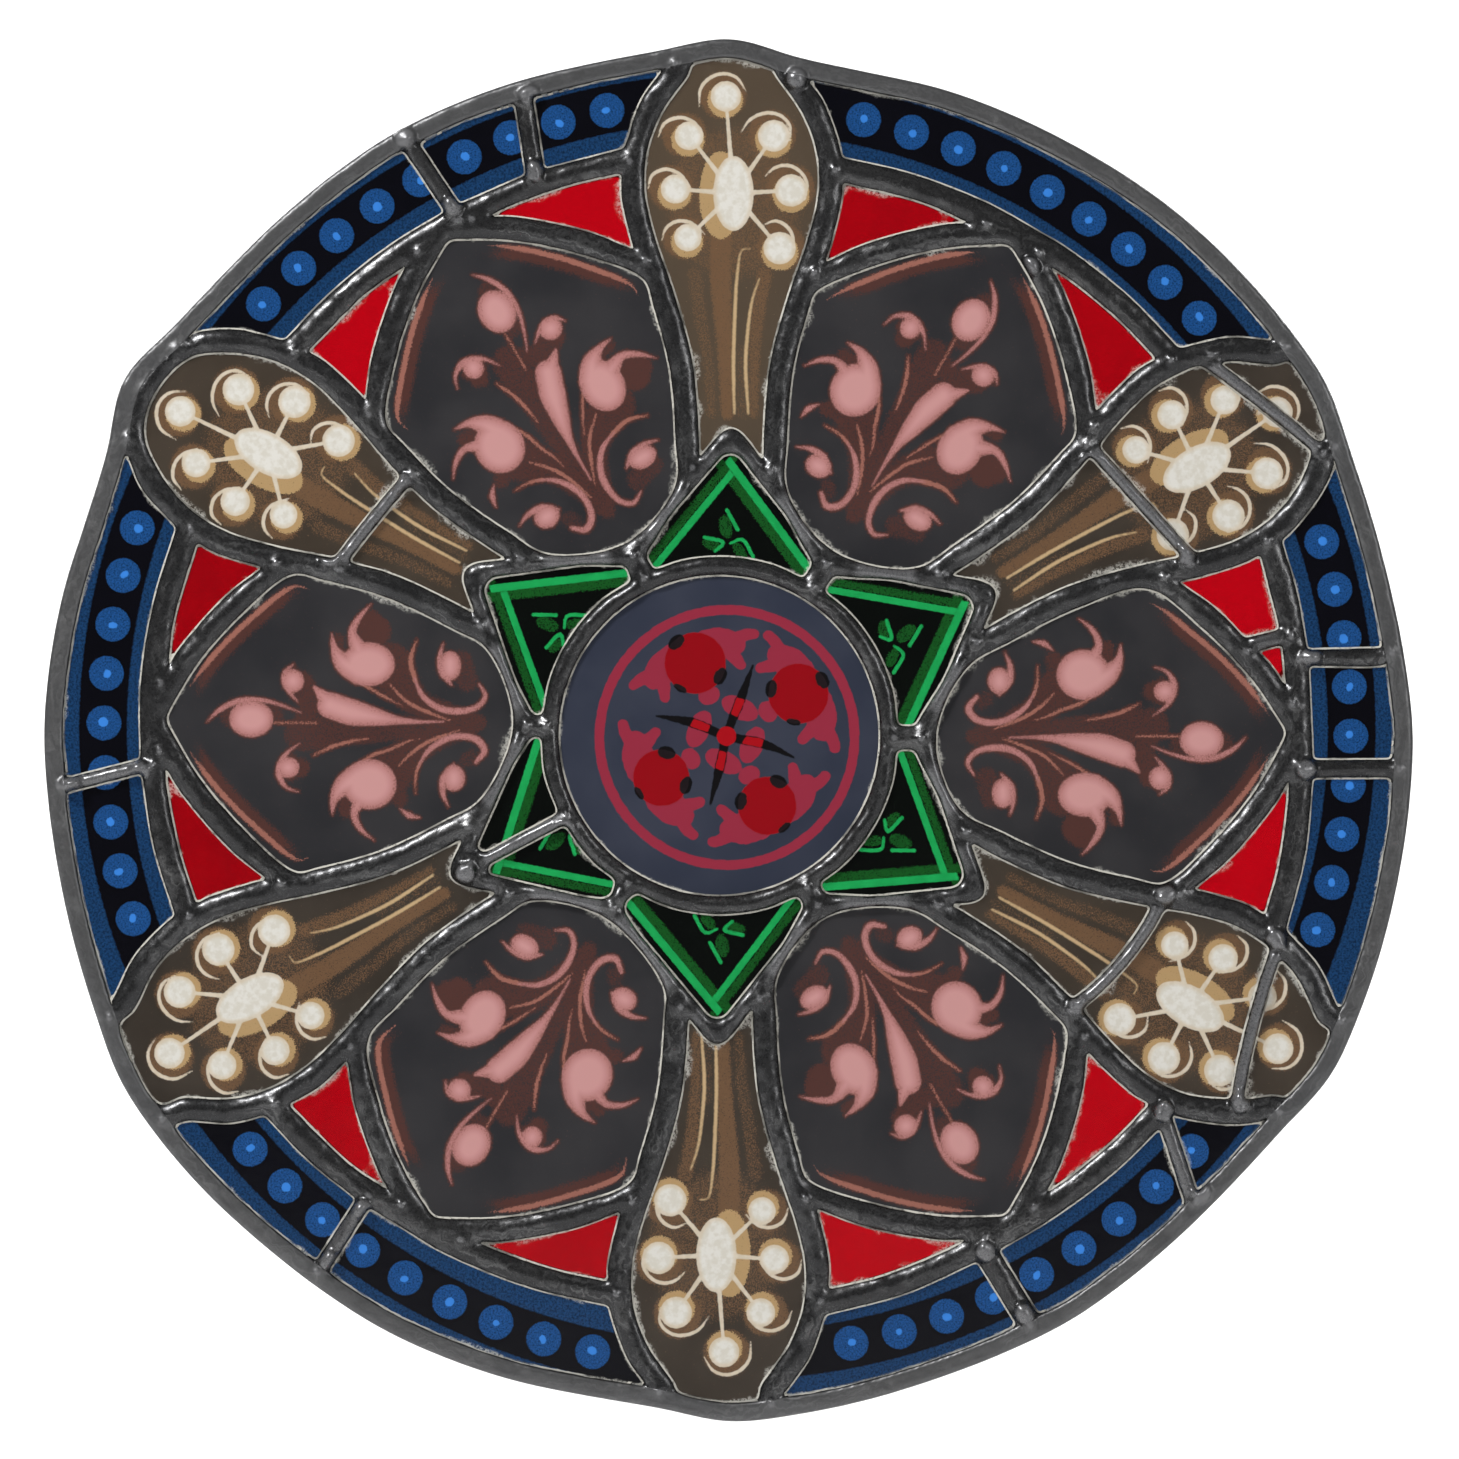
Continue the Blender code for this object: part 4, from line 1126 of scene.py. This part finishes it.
# Each kind of pane: mesh spacing, slot, painter and front, and the name, colour and clearness of its back
KINDS = {
    "petal": (0.65, "beaded_glass", paint_petal, petal_material, "painted_glass", (170, 160, 150), 0.8),
    "pointed": (
        0.65, "foliage_glass", paint_foliage, foliage_material, "foliage_glass", (200, 130, 125), 0.8,
    ),
    "border": (0.85, "border_glass", paint_border, border_material, "border_glass", (40, 90, 170), 0.9),
    "star": (0.6, "green_glass", paint_star, star_material, "green_glass", (40, 170, 90), 0.9),
    "red": (1.2, "red_glass", tone_red, red_material, "ruby_glass", (235, 60, 60), 0.95),
    "centre": (0.6, "disc_glass", paint_disc, disc_material, "disc_glass", (150, 90, 100), 0.8),
}


def make_glass():
    materials = {kind: [row[3](), back_material(*row[4:])] for kind, row in KINDS.items()}
    for pane in PANES:
        make_pane(pane, *KINDS[pane.kind][:3], materials[pane.kind])


# Stage

FLOOR_HEIGHT = -0.12
FLOOR_FRONT = -4.0
WALL_DISTANCE = 2.6
WALL_HEIGHT = 3.4
BEND_RADIUS = 0.9
BEND_STEPS = 12
HALF_WIDTH = 4.0


def make_stage():
    """A pale floor that sweeps up into a backdrop behind the panel."""
    shader = Shader("pale_sweep")
    shader.link("Base Color", shader.mix(shader.noise(400.0), (0.86, 0.86, 0.86), (0.89, 0.89, 0.89)))
    shader.link("Roughness", 0.9)
    profile = [(FLOOR_FRONT, FLOOR_HEIGHT)]
    for i in range(BEND_STEPS + 1):
        turn = math.radians(90 * i / BEND_STEPS)
        y = WALL_DISTANCE - BEND_RADIUS + BEND_RADIUS * math.sin(turn)
        profile.append((y, FLOOR_HEIGHT + BEND_RADIUS - BEND_RADIUS * math.cos(turn)))
    profile.append((WALL_DISTANCE, WALL_HEIGHT))
    vertices = [(x, y, z) for y, z in profile for x in (-HALF_WIDTH, HALF_WIDTH)]
    faces = [(2 * i, 2 * i + 1, 2 * i + 3, 2 * i + 2) for i in range(len(profile) - 1)]
    mesh = bpy.data.meshes.new("sweep")
    mesh.from_pydata(vertices, [], faces)
    mesh.polygons.foreach_set("use_smooth", [True] * len(faces))
    mesh.materials.append(shader.material)
    sweep = add_object("sweep", mesh)


PANEL_MIDDLE = (0, 0, CENTRE_HEIGHT * MM)
LIGHTS = (
    ("key", (-1.0, -1.1, 1.6), (0.33, 0.33), 32, PANEL_MIDDLE),
    ("fill", (1.3, -1.2, 0.7), (0.3, 0.8), 6, PANEL_MIDDLE),
    ("backdrop_left", (-1.7, 1.5, 1.6), (0.6, 1.5), 48, (0.2, 2.6, 0.2)),
    ("backdrop_right", (1.7, 1.5, 1.6), (0.6, 1.5), 48, (-0.2, 2.6, 0.2)),
)
WORLD_STRENGTH = 0.16


def make_lights():
    for name, source, size, power, target in LIGHTS:
        light = bpy.data.lights.new(name, "AREA")
        light.shape = "RECTANGLE"
        light.size, light.size_y = size
        light.energy = power
        lamp = add_object(name, light)
        lamp.location = source
        way = np.array(target) - np.array(source)
        flat = math.hypot(way[0], way[1])
        lamp.rotation_euler = (math.atan2(flat, -way[2]), 0, math.atan2(way[1], way[0]) - math.pi / 2)
    world = bpy.data.worlds.new("studio")
    world.use_nodes = True
    world.node_tree.nodes["Background"].inputs["Color"].default_value = (1, 1, 1, 1)
    world.node_tree.nodes["Background"].inputs["Strength"].default_value = WORLD_STRENGTH
    bpy.context.scene.world = world


PHOTO_WIDTH = 480.0
CAMERA_DISTANCE = 1.8
SENSOR_WIDTH = 36


def make_camera():
    """Square on to the panel's middle, framed as wide as the photograph."""
    camera = bpy.data.cameras.new("camera")
    camera.sensor_width = SENSOR_WIDTH
    camera.lens = SENSOR_WIDTH * CAMERA_DISTANCE / (PHOTO_WIDTH * MM)
    view = add_object("camera", camera)
    view.location = (0, -CAMERA_DISTANCE - PANEL_THICKNESS * MM, CENTRE_HEIGHT * MM)
    view.rotation_euler = (math.pi / 2, 0, 0)
    bpy.context.scene.camera = view
    bpy.context.scene.view_settings.view_transform = "Standard"


make_lead()
make_glass()
make_stage()
make_lights()
make_camera()
